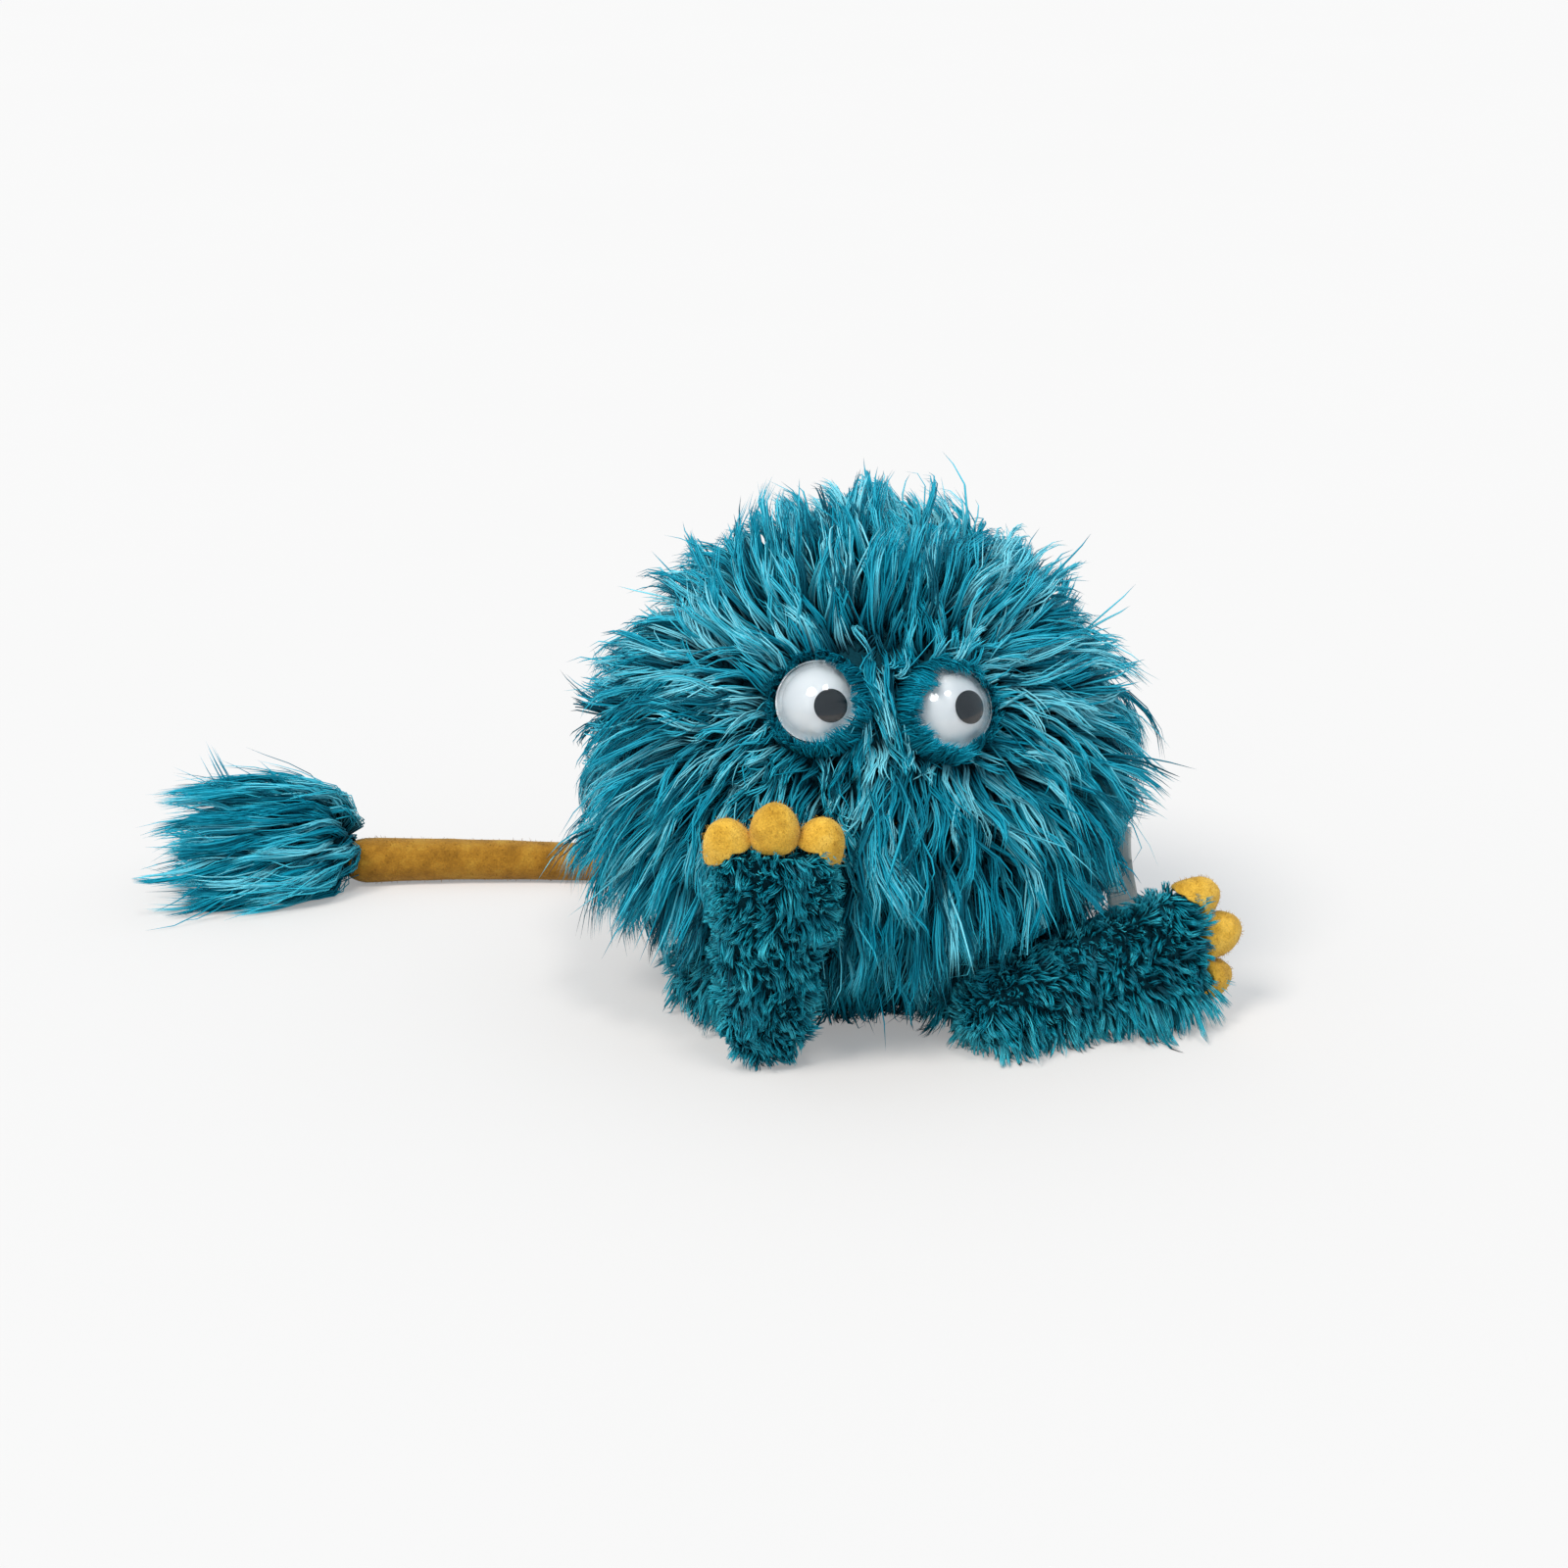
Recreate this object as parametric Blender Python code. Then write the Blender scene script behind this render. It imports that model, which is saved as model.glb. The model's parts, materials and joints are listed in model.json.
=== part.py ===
"""A seated moving-mouth hand puppet: a shaggy ball that opens at a hinge line across its middle, with
dome eyes, curly feet with felt toes, and a felt tail that ends in a tuft. Metres, +Z up, the face
looks along -Y."""

import math

import bmesh
import bpy
import numpy as np
from mathutils import Vector

for thing in list(bpy.data.objects):
    bpy.data.objects.remove(thing, do_unlink=True)

MM = 0.001

# Fits, in millimetres
GAP = 0.35  # between sewn or glued neighbours
SHANK_FIT = 0.3  # round an eye's shank
FILL_FIT = 1.1  # fill stays this far inside its cover

# The mouth hinge runs along X at this Y and Z
HINGE_Y = 12.0
HINGE_Z = 100.0

# The stuffed ball under its pile
CORE_MID = (0.0, 0.0, 98.0)
CORE_SEMI = (90.0, 88.0, 90.0)
PILE = 22.0  # standing pile at the top, sides and back
LIP_PILE = 5.0  # pile lies flat above the mouth
PIVOT_R = 7.0  # nothing comes nearer to the hinge than this at the sides

# Sectors round the hinge, in degrees from straight ahead
HEAD_FROM, HEAD_TO = 2.0, 146.0
NECK_TO = 189.6
BODY_FROM, BODY_TO = 190.0, 314.0
THROAT_FROM, THROAT_TO = -45.6, -26.4
CHIN_FROM, CHIN_TO = -26.0, -2.0

# Lower jaw
CHIN_SEMI = (90.0, 94.0, 94.0)
CHIN_WALL = 10.0

# Belly, where the legs are sewn on
BELLY_MID = (0.0, 5.0, 98.0)
BELLY_SEMI = (90.0, 80.0, 80.0)
BELLY_WALL = 11.0
SEAT_TOP = 5.5
SEAT_MID = (0.0, 14.0)
SEAT_SEMI = (58.0, 44.0)

# Hand opening in the lower back
OPEN_FROM, OPEN_TO = 196.0, 228.0
OPEN_HALF = 45.0
SLEEVE_WALL = 1.2
PALM_R = 60.0  # room for the palm behind the mouth

# Mouth boards
UPPER_HALF = 80.0
UPPER_FRONT = -84.5
LOWER_HALF = 73.0
LOWER_FRONT = -69.0
BOARD_BACK = 7.0
BOARD_T = 2.0
FELT_T = 1.2
MOUTH_GAP = 0.6

# Eyes
EYE_R = 16.5
EYE_RIM_T = 2.2
EYE_SEAT = 97.4  # from the ball's middle to the back of an eye's rim
DOME_H = 9.5
DOME_T = 1.2
PUPIL_R = 6.8
LEFT_PUPIL_OFF = 7.2
RIGHT_PUPIL_OFF = 4.8
SHANK_R = 2.6
WASHER_R = 9.0
LEFT_EYE_AIM = (-27.9, -82.8, 53.8)
RIGHT_EYE_AIM = (24.6, -85.6, 51.2)
LEFT_PUPIL_TURN = -20.0  # degrees down from straight out to the right
RIGHT_PUPIL_TURN = -24.0

# Legs
THIGH_R = 18.25
LEFT_HIP = (-62.6, -28.7, 19.5)
RIGHT_HIP = (50.4, -32.6, 20.6)
RIGHT_THIGH_R = 17.0
FOOT_LENGTH = 88.0  # from the ankle pin to the toe end
HEEL_R = 18.5
TOE_HALF = 25.5
FOOT_HALF_T = 13.5
FOOT_WALL = 5.0
FOOT_SIDES = 20
ANKLE_SINK = 2.1  # the thigh's round end sits this far into the foot's ankle opening
LEFT_ANKLE = (-47.0, -80.0, 19.6)
LEFT_FOOT_UP = (0.02, -0.33, 1.0)
RIGHT_ANKLE = (46.5, -73.0, 20.0)
RIGHT_FOOT_UP = (0.956, 0.27, 0.175)
TOE_SEMI = (12.5, 8.6, 7.0)
TOES = (("outer", -17.2, -2.5, -0.16), ("middle", 0.0, 4.5, 0.0), ("inner", 17.2, -2.5, 0.16))

# Tail
TAIL_PATH = (
    (-33.4, 74.9, 11.8, 8.0),
    (-51.5, 93.4, 9.6, 8.0),
    (-80.0, 112.0, 8.7, 8.2),
    (-114.0, 121.0, 8.7, 8.4),
    (-150.0, 125.0, 9.2, 8.9),
    (-184.0, 126.5, 9.8, 9.5),
    (-214.0, 126.0, 10.4, 10.1),
)
TAIL_WALL = 1.6
ROUND_ENDS = (36.0, 68.0)  # degrees round each end of the tail, so that it turns in place
TUFT_LENGTH = 88.0


def unit(v):
    v = np.array(v, float)
    return v / np.linalg.norm(v)


def smooth(t):
    t = min(max(t, 0.0), 1.0)
    return t * t * (3 - 2 * t)


def blend(a, b, t):
    return tuple(p + (q - p) * t for p, q in zip(a, b))


def material(name, colour, rough, **sockets):
    mat = bpy.data.materials.new(name)
    mat.use_nodes = True
    shader = mat.node_tree.nodes["Principled BSDF"]
    shader.inputs["Base Color"].default_value = (*colour, 1.0)
    shader.inputs["Roughness"].default_value = rough
    for socket, value in sockets.items():
        shader.inputs[socket].default_value = value
    mat.diffuse_color = (*colour, 1.0)
    return mat


TEAL = (0.012, 0.235, 0.310)
DEEP_TEAL = (0.006, 0.130, 0.175)
MUSTARD = (0.720, 0.370, 0.035)
FILL = (0.850, 0.850, 0.820)
LINING = (0.050, 0.060, 0.070)
BOARD = (0.550, 0.430, 0.300)
WHITE = (0.900, 0.900, 0.900)
BLACK = (0.008, 0.008, 0.008)
CLEAR = (0.930, 0.950, 0.960)
RIBBON = (0.880, 0.860, 0.820)


def add(name, shape, colour, rough, pin=(0.0, 0.0, 0.0), **sockets):
    """One closed solid from a shape in millimetres, with its origin at the pin that it turns on."""
    pin = Vector(pin)
    bmesh.ops.recalc_face_normals(shape, faces=shape.faces)
    if shape.calc_volume(signed=True) < 0:
        bmesh.ops.reverse_faces(shape, faces=shape.faces)
    bmesh.ops.translate(shape, verts=shape.verts, vec=-pin)
    bmesh.ops.scale(shape, verts=shape.verts, vec=(MM, MM, MM))
    mesh = bpy.data.meshes.new(name)
    shape.to_mesh(mesh)
    shape.free()
    mesh.shade_smooth()
    mesh.set_sharp_from_angle(angle=math.radians(40))
    obj = bpy.data.objects.new(name, mesh)
    obj.location = pin * MM
    bpy.context.scene.collection.objects.link(obj)
    mesh.materials.append(material(name + "_mat", colour, rough, **sockets))
    return obj


def cutter(name, shape):
    obj = add(name, shape, FILL, 0.9)
    obj.hide_render = True
    obj.display_type = "WIRE"
    return obj


def cut(obj, tool):
    step = obj.modifiers.new(tool.name, "BOOLEAN")
    step.operation = "DIFFERENCE"
    step.solver = "EXACT"
    step.object = tool


def loft(rings, closed_ends=True):
    """The first ring extruded from ring to ring into a tube, with flat ends unless they stay open."""
    shape = bmesh.new()
    number = shape.verts.layers.int.new("corner")
    count = len(rings[0])
    verts = [shape.verts.new(Vector(p)) for p in rings[0]]
    for k, vert in enumerate(verts):
        vert[number] = k
    ring = [shape.edges.new((verts[k], verts[(k + 1) % count])) for k in range(count)]
    ends = [ring]
    for points in rings[1:]:
        made = bmesh.ops.extrude_edge_only(shape, edges=ring)
        for part in made["geom"]:
            if isinstance(part, bmesh.types.BMVert):
                part.co = Vector(points[part[number]])
        fresh = {part for part in made["geom"] if isinstance(part, bmesh.types.BMVert)}
        ring = [
            part
            for part in made["geom"]
            if isinstance(part, bmesh.types.BMEdge) and set(part.verts) <= fresh
        ]
    ends.append(ring)
    if closed_ends:
        for end in ends:
            bmesh.ops.contextual_create(shape, geom=end)
    return shape


def slab(outer, inner, around=False, closed_ends=False, skip=()):
    """A wall between two grids: the outer surface is extruded, its far side laid on the inner points.

    Cells in skip are cut out first, so the wall is open there."""
    rows, cols = len(outer), len(outer[0])
    if around:
        shape = loft(outer, closed_ends)
    else:
        shape = bmesh.new()
        bmesh.ops.create_grid(shape, x_segments=cols - 1, y_segments=rows - 1, size=1)
        shape.verts.ensure_lookup_table()
        for vert, p in zip(shape.verts, [p for row in outer for p in row]):
            vert.co = Vector(p)
    shape.verts.ensure_lookup_table()
    number = shape.verts.layers.int.new("place")
    corner = shape.verts.layers.int.get("corner")
    for k, vert in enumerate(shape.verts):
        vert[number] = k // cols * cols + vert[corner] if around else k
    gone = []
    for face in shape.faces:
        places = [v[number] for v in face.verts]
        i = min(k // cols for k in places)
        across = sorted({k % cols for k in places})
        j = across[-1] if around and across == [0, cols - 1] else across[0]
        if (i, j) in skip and len(places) == 4:
            gone.append(face)
    if gone:
        bmesh.ops.delete(shape, geom=gone, context="FACES")
    laid = [Vector(p) for row in inner for p in row]
    made = bmesh.ops.extrude_face_region(shape, geom=shape.faces[:])
    for part in made["geom"]:
        if isinstance(part, bmesh.types.BMVert):
            part.co = laid[part[number]]
    return shape


def reach(angle, x, mid, semi):
    """How far from the hinge an ellipsoid's surface lies, in this direction and at this x."""
    room = 1 - (x / semi[0]) ** 2
    if room <= 0:
        return 0.0
    c = math.cos(math.radians(angle))
    s = math.sin(math.radians(angle))
    dy = HINGE_Y - mid[1]
    dz = HINGE_Z - mid[2]
    a = (c / semi[1]) ** 2 + (s / semi[2]) ** 2
    b = 2 * (-dy * c / semi[1] ** 2 + dz * s / semi[2] ** 2)
    d = b * b - 4 * a * ((dy / semi[1]) ** 2 + (dz / semi[2]) ** 2 - room)
    if d <= 0:
        return 0.0
    return max((-b + math.sqrt(d)) / (2 * a), 0.0)


def spot(angle, x, rho):
    c = math.cos(math.radians(angle))
    s = math.sin(math.radians(angle))
    return (x, HINGE_Y - rho * c, HINGE_Z + rho * s)


def above(angle, rho, low):
    """Keeps a surface from going below this height."""
    s = math.sin(math.radians(angle))
    return min(rho, (HINGE_Z - low) / -s) if s < -0.05 else rho


def sector(start, end, steps, halves, columns, outer, inner):
    """A wedge round the hinge. halves gives its half width at an angle, outer and inner its two radii."""
    angles = [start + (end - start) * i / steps for i in range(steps + 1)]
    spread = [math.sin(math.pi / 2 * (2 * j / columns - 1)) for j in range(columns + 1)]
    out, ins = [], []
    for angle in angles:
        half = halves(angle)
        out_row, in_row = [], []
        for u in spread:
            x = half * u
            near = inner(angle, x)
            far = max(outer(angle, x), near + 1.0)
            out_row.append(spot(angle, x, far))
            in_row.append(spot(angle, x, near))
        out.append(out_row)
        ins.append(in_row)
    return out, ins, angles, spread


def grown(semi, by):
    return tuple(s + by for s in semi)


def head_pile(angle):
    return LIP_PILE + (PILE - LIP_PILE) * smooth((angle - 5) / 45)


def head_outer(angle, x):
    return reach(angle, x, CORE_MID, grown(CORE_SEMI, head_pile(angle)))


def core_inner(angle, x):
    return max(reach(angle, x, CORE_MID, CORE_SEMI), PIVOT_R)


def belly_share(angle):
    return smooth((angle - 262) / 26)


def body_outer(angle, x):
    t = belly_share(angle)
    mid = blend(CORE_MID, BELLY_MID, t)
    semi = blend(grown(CORE_SEMI, PILE), BELLY_SEMI, t)
    return above(angle, reach(angle, x, mid, semi), SEAT_TOP + GAP)


def body_inner(angle, x, inset=0.0):
    t = belly_share(angle)
    mid = blend(CORE_MID, BELLY_MID, t)
    semi = grown(blend(CORE_SEMI, grown(BELLY_SEMI, -BELLY_WALL), t), -inset)
    return max(above(angle, reach(angle, x, mid, semi), SEAT_TOP + 5 + inset), PIVOT_R)


HINGE_MID = (0.0, HINGE_Y, HINGE_Z)

# ---- Body ----


def oval(mid, semi, z, count=36):
    return [
        (
            mid[0] + semi[0] * math.cos(2 * math.pi * k / count),
            mid[1] + semi[1] * math.sin(2 * math.pi * k / count),
            z,
        )
        for k in range(count)
    ]


seat_rings = [
    oval(SEAT_MID, grown(SEAT_SEMI, -1.5), 0.0),
    oval(SEAT_MID, SEAT_SEMI, 1.5),
    oval(SEAT_MID, SEAT_SEMI, SEAT_TOP - 1.0),
    oval(SEAT_MID, grown(SEAT_SEMI, -1.0), SEAT_TOP),
]
add("seat_panel", loft(seat_rings), DEEP_TEAL, 0.9)


def body_half(angle):
    share = belly_share(angle)
    return (CORE_SEMI[0] + PILE) * 0.975 * (1 - share) + BELLY_SEMI[0] * 0.965 * share


def fitted(values, wanted):
    """The values with the nearest one moved onto each wanted value."""
    values = list(values)
    for w in wanted:
        values[min(range(len(values)), key=lambda k: abs(values[k] - w))] = w
    return values


BODY_STEPS = 20
BODY_COLS = 18
angles = fitted(
    [BODY_FROM + (BODY_TO - BODY_FROM) * i / BODY_STEPS for i in range(BODY_STEPS + 1)], (OPEN_FROM, OPEN_TO)
)
spread = fitted(
    [math.sin(math.pi / 2 * (2 * j / BODY_COLS - 1)) for j in range(BODY_COLS + 1)],
    (-OPEN_HALF / body_half(210), OPEN_HALF / body_half(210)),
)
out, ins = [], []
for angle in angles:
    half = body_half(angle)
    row = [(half * u, max(body_outer(angle, half * u), body_inner(angle, half * u) + 1)) for u in spread]
    out.append([spot(angle, x, radius) for x, radius in row])
    ins.append([spot(angle, half * u, body_inner(angle, half * u)) for u in spread])
skip = [
    (i, j)
    for i in range(BODY_STEPS)
    for j in range(BODY_COLS)
    if OPEN_FROM - 0.01 <= angles[i]
    and angles[i + 1] <= OPEN_TO + 0.01
    and abs(spread[j] + spread[j + 1]) / 2 * body_half(210) < OPEN_HALF
]
add("body_fur_shell", slab(out, ins, skip=skip), TEAL, 0.85)

STUFF_OUT = 74.0
out, ins, _, _ = sector(
    241,
    309,
    12,
    lambda a: 68.0,
    12,
    lambda a, x: min(body_inner(a, x, FILL_FIT), STUFF_OUT),
    lambda a, x: max(reach(a, x, HINGE_MID, (76.0, PALM_R, PALM_R)), PIVOT_R),
)
add("body_stuffing", slab(out, ins), FILL, 0.95)

out, ins, _, _ = sector(
    246,
    264,
    8,
    lambda a: 38.0,
    12,
    lambda a, x: body_inner(a, x, FILL_FIT + 0.8),
    lambda a, x: STUFF_OUT + GAP,
)
add("pellet_bag", slab(out, ins), DEEP_TEAL, 0.9)

SLEEVE_MID = (OPEN_FROM + OPEN_TO) / 2
SLEEVE_SPAN = (OPEN_TO - OPEN_FROM) / 2


def sleeve_ring(rho, trim, count=24):
    """A rounded opening at this distance from the hinge, trimmed inward."""
    ring = []
    high = rho * math.radians(SLEEVE_SPAN) - 1.0 - trim
    wide = OPEN_HALF - 1.0 - trim
    for k in range(count):
        t = 2 * math.pi * k / count
        c, s = math.cos(t), math.sin(t)
        x = wide * math.copysign(abs(c) ** 0.5, c)
        h = high * math.copysign(abs(s) ** 0.5, s)
        ring.append(spot(SLEEVE_MID + math.degrees(h / rho), x, rho))
    return ring


SLEEVE_END = reach(SLEEVE_MID, 0, CORE_MID, grown(CORE_SEMI, PILE)) - 1.5
stations = [SLEEVE_END - (SLEEVE_END - 52.0) * k / 3 for k in range(4)]
sleeve_out = [sleeve_ring(r, 0.0) for r in stations]
sleeve_in = [sleeve_ring(r, SLEEVE_WALL) for r in stations]
add("hand_sleeve", slab(sleeve_out, sleeve_in, around=True), LINING, 0.8)

hem_out = [sleeve_ring(SLEEVE_END + r, -t) for r, t in ((GAP, 0.0), (1.6, 1.0), (3.4, 1.0), (4.6, 0.0))]
hem_in = [sleeve_ring(SLEEVE_END + r, 3.0) for r in (GAP, 1.6, 3.4, 4.6)]
add("sleeve_hem", slab(hem_out, hem_in, around=True), DEEP_TEAL, 0.8)

out, ins, _, _ = sector(
    HEAD_TO + 0.4,
    NECK_TO,
    8,
    lambda a: 106.0,
    18,
    lambda a, x: reach(a, x, CORE_MID, grown(CORE_SEMI, PILE - 1)),
    core_inner,
)
add("neck_gusset", slab(out, ins), TEAL, 0.85)

out, ins, _, _ = sector(
    THROAT_FROM,
    THROAT_TO,
    5,
    lambda a: 82.0,
    16,
    lambda a, x: reach(a, x, HINGE_MID, (86.0, 86.0, 86.0)),
    lambda a, x: max(reach(a, x, HINGE_MID, (78.0, 78.0, 78.0)), PIVOT_R),
)
add("throat_gusset", slab(out, ins), TEAL, 0.85)

TAG_TOP = np.array((106.0, 6.0, 66.0))
TAG_LOW = np.array((108.6, 4.0, 26.0))
TAG_WIDE = 14.0
TAG_T = 0.9
along = unit(TAG_LOW - TAG_TOP)
across = unit((0.62, -0.78, 0.0))
through = np.cross(along, across)
tag_rings = []
for t, bow in ((0.0, 0.0), (0.35, 1.6), (0.7, 1.2), (1.0, 0.0)):
    mid = TAG_TOP + (TAG_LOW - TAG_TOP) * t + np.array((bow, 0.0, 0.0))
    tag_rings.append(
        [
            mid + across * a * TAG_WIDE / 2 + through * b * TAG_T / 2
            for a, b in ((-1, -1), (1, -1), (1, 1), (-1, 1))
        ]
    )
add("side_label", loft(tag_rings), RIBBON, 0.6)

# ---- Head ----


def head_half(angle):
    return (CORE_SEMI[0] + head_pile(angle)) * 0.975


def disc(mid, axis, rises, radii, count=20):
    """Rings of these radii, set out along an axis."""
    axis = unit(axis)
    side = unit(np.cross(axis, (0, 0, 1)))
    up = np.cross(side, axis)
    rings = []
    for rise, r in zip(rises, radii):
        ring = []
        for k in range(count):
            t = 2 * math.pi * k / count
            ring.append(np.array(mid) + axis * rise + r * (side * math.cos(t) + up * math.sin(t)))
        rings.append(ring)
    return rings


out, ins, _, _ = sector(HEAD_FROM, HEAD_TO, 20, head_half, 20, head_outer, core_inner)
head = add("head_fur_shell", slab(out, ins), TEAL, 0.85, pin=HINGE_MID)

out, ins, _, _ = sector(
    31,
    140,
    14,
    lambda a: 74.0,
    14,
    lambda a, x: reach(a, x, CORE_MID, grown(CORE_SEMI, -FILL_FIT)),
    lambda a, x: max(reach(a, x, HINGE_MID, (74.0, PALM_R, PALM_R)), PIVOT_R),
)
stuffing = add("head_stuffing", slab(out, ins), FILL, 0.95, pin=HINGE_MID)


def board_outline(half, front, z, inset=0.0, count=24):
    """A half oval: straight along the hinge and round at the lips."""
    deep = BOARD_BACK - front - 2 * inset
    line = []
    for k in range(count + 1):
        t = math.pi * k / count
        line.append(((half - inset) * math.cos(t), BOARD_BACK - inset - deep * math.sin(t), z))
    return line


def plate(half, front, low, high, inset):
    return loft([board_outline(half, front, low, inset), board_outline(half, front, high, inset)])


FELT_UP = HINGE_Z + MOUTH_GAP / 2
felt = plate(UPPER_HALF, UPPER_FRONT, FELT_UP, FELT_UP + FELT_T, 1.0)
add("upper_mouth_felt", felt, MUSTARD, 0.95, pin=HINGE_MID)
BOARD_UP = FELT_UP + FELT_T + GAP
board = plate(UPPER_HALF, UPPER_FRONT, BOARD_UP, BOARD_UP + BOARD_T, 0.0)
add("upper_mouth_board", board, BOARD, 0.8, pin=HINGE_MID)


def pocket(half, low, high, front, back, wall, count=20):
    """A flat bag, shut in front and open behind."""

    def ring(y, trim):
        mid = (low + high) / 2
        tall = (high - low) / 2 - trim
        wide = half - trim
        points = []
        for k in range(count):
            t = 2 * math.pi * k / count
            c, s = math.cos(t), math.sin(t)
            x = wide * math.copysign(abs(c) ** 0.6, c)
            z = mid + tall * math.copysign(abs(s) ** 0.6, s)
            points.append((x, y, z))
        return points

    return loft(
        [
            ring(front + wall, wall + 3.0),
            ring(front + 5, wall),
            ring(back, wall),
            ring(back, 0.0),
            ring(front + 5, 0.0),
            ring(front + 1, 0.8),
            ring(front, 2.6),
        ]
    )


POCKET_LOW = BOARD_UP + BOARD_T + GAP
fingers = pocket(39.0, POCKET_LOW, POCKET_LOW + 21.0, -50.0, 4.0, 1.5)
add("finger_pocket", fingers, LINING, 0.8, pin=HINGE_MID)

# ---- Lower jaw ----

out, ins, _, _ = sector(
    CHIN_FROM,
    CHIN_TO,
    6,
    lambda a: CHIN_SEMI[0] * 0.965,
    20,
    lambda a, x: reach(a, x, HINGE_MID, CHIN_SEMI),
    lambda a, x: max(reach(a, x, HINGE_MID, grown(CHIN_SEMI, -CHIN_WALL)), PIVOT_R),
)
add("chin_fur_shell", slab(out, ins), TEAL, 0.85, pin=HINGE_MID)

THUMB_FRONT = -36.0
out, ins, _, _ = sector(
    -25.0,
    -6.0,
    4,
    lambda a: 60.0,
    14,
    lambda a, x: reach(a, x, HINGE_MID, grown(CHIN_SEMI, -CHIN_WALL - FILL_FIT)),
    lambda a, x: 52.0,
)
add("chin_stuffing", slab(out, ins), FILL, 0.95, pin=HINGE_MID)

FELT_LOW = HINGE_Z - MOUTH_GAP / 2
felt = plate(LOWER_HALF, LOWER_FRONT, FELT_LOW - FELT_T, FELT_LOW, 1.0)
add("lower_mouth_felt", felt, MUSTARD, 0.95, pin=HINGE_MID)
BOARD_LOW = FELT_LOW - FELT_T - GAP
board = plate(LOWER_HALF, LOWER_FRONT, BOARD_LOW - BOARD_T, BOARD_LOW, 0.0)
add("lower_mouth_board", board, BOARD, 0.8, pin=HINGE_MID)
THUMB_TOP = BOARD_LOW - BOARD_T - GAP
thumb = pocket(17.0, THUMB_TOP - 17.0, THUMB_TOP, THUMB_FRONT, 4.0, 1.5)
add("thumb_pocket", thumb, LINING, 0.8, pin=HINGE_MID)

FOLD_R = 1.5
FOLD_Y = HINGE_Y - 3.6
fold_rings = []
for x in (-70.0, 70.0):
    turns = [2 * math.pi * k / 16 for k in range(16)]
    fold_rings.append(
        [(x, FOLD_Y + FOLD_R * math.cos(t), HINGE_Z + FOLD_R * math.sin(t)) for t in turns]
    )
add("mouth_fold", loft(fold_rings), MUSTARD, 0.95)

# ---- Eyes ----


def arc(radius, low, mid_rise, count):
    """Rises and radii along a dome's section, from its foot to near its top."""
    start = math.acos((low - mid_rise) / radius)
    rises, radii = [], []
    for k in range(count + 1):
        t = start * (1 - k / count)
        rises.append(mid_rise + radius * math.cos(t))
        radii.append(max(radius * math.sin(t), 0.05))
    return rises, radii


def eye(side, aim, turn, pupil_off):
    axis = unit(aim)
    mid = np.array(CORE_MID)
    rim_top = EYE_SEAT + EYE_RIM_T
    dome_foot = rim_top + 0.3
    dome_r = ((EYE_R - 0.1) ** 2 + DOME_H**2) / (2 * DOME_H)
    dome_mid = dome_foot + DOME_H - dome_r
    pin = mid + axis * EYE_SEAT
    white_r = dome_r - DOME_T - 1.3
    washer_rise = 86.9
    shank_end = washer_rise - 4.0
    rises, radii = arc(white_r, rim_top, dome_mid, 5)
    cup = disc(
        mid,
        axis,
        [shank_end, EYE_SEAT, EYE_SEAT, rim_top] + rises,
        [SHANK_R, SHANK_R, EYE_R, EYE_R] + radii,
    )
    add(side + "_eye_cup", loft(cup), WHITE, 0.15, pin=pin)
    out_rises, out_radii = arc(dome_r, dome_foot, dome_mid, 5)
    in_rises, in_radii = arc(dome_r - DOME_T, dome_foot, dome_mid, 5)
    dome = disc(mid, axis, in_rises[::-1] + out_rises, in_radii[::-1] + out_radii)
    add(side + "_eye_dome", loft(dome), CLEAR, 0.05, pin=pin, IOR=1.49, **{"Transmission Weight": 1.0})
    flat = unit(np.cross((0, 0, 1), axis))
    up = np.cross(axis, flat)
    toward = flat * math.cos(math.radians(turn)) + up * math.sin(math.radians(turn))
    tilt = math.asin(pupil_off / white_r)
    look = axis * math.cos(tilt) + toward * math.sin(tilt)
    centre = mid + axis * dome_mid
    low_r = white_r + 0.3
    high_r = white_r + 0.95
    rises, radii = [], []
    steps = [(low_r, 0.0), (low_r, 0.5), (low_r, 1.0), (high_r, 1.0), (high_r, 0.5), (high_r, 0.0)]
    for radius, share in steps:
        t = math.asin(PUPIL_R / low_r) * share
        rises.append(radius * math.cos(t))
        radii.append(max(radius * math.sin(t), 0.05))
    add(side + "_pupil", loft(disc(centre, look, rises, radii, 20)), BLACK, 0.2, pin=pin)
    hole = SHANK_R + SHANK_FIT
    washer = slab(
        disc(mid, axis, (washer_rise - 1.6, washer_rise - 0.6, washer_rise), (4.4, WASHER_R, WASHER_R)),
        disc(mid, axis, (washer_rise - 1.6, washer_rise - 0.6, washer_rise), (hole, hole, hole)),
        around=True,
    )
    add(side + "_lock_washer", washer, WHITE, 0.4, pin=pin)
    well = disc(
        mid,
        axis,
        (80.0, EYE_SEAT - 0.5, EYE_SEAT - 0.5, 125.0),
        (SHANK_R + 0.6, SHANK_R + 0.6, EYE_R + 0.6, EYE_R + 0.6),
    )
    cut(head, cutter(side + "_eye_well", loft(well)))
    room = disc(mid, axis, (76.0, 95.0), (WASHER_R + 1.5, WASHER_R + 1.5))
    cut(stuffing, cutter(side + "_washer_room", loft(room)))


eye("left", LEFT_EYE_AIM, LEFT_PUPIL_TURN, LEFT_PUPIL_OFF)
eye("right", RIGHT_EYE_AIM, RIGHT_PUPIL_TURN, RIGHT_PUPIL_OFF)

# ---- Legs ----


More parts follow.
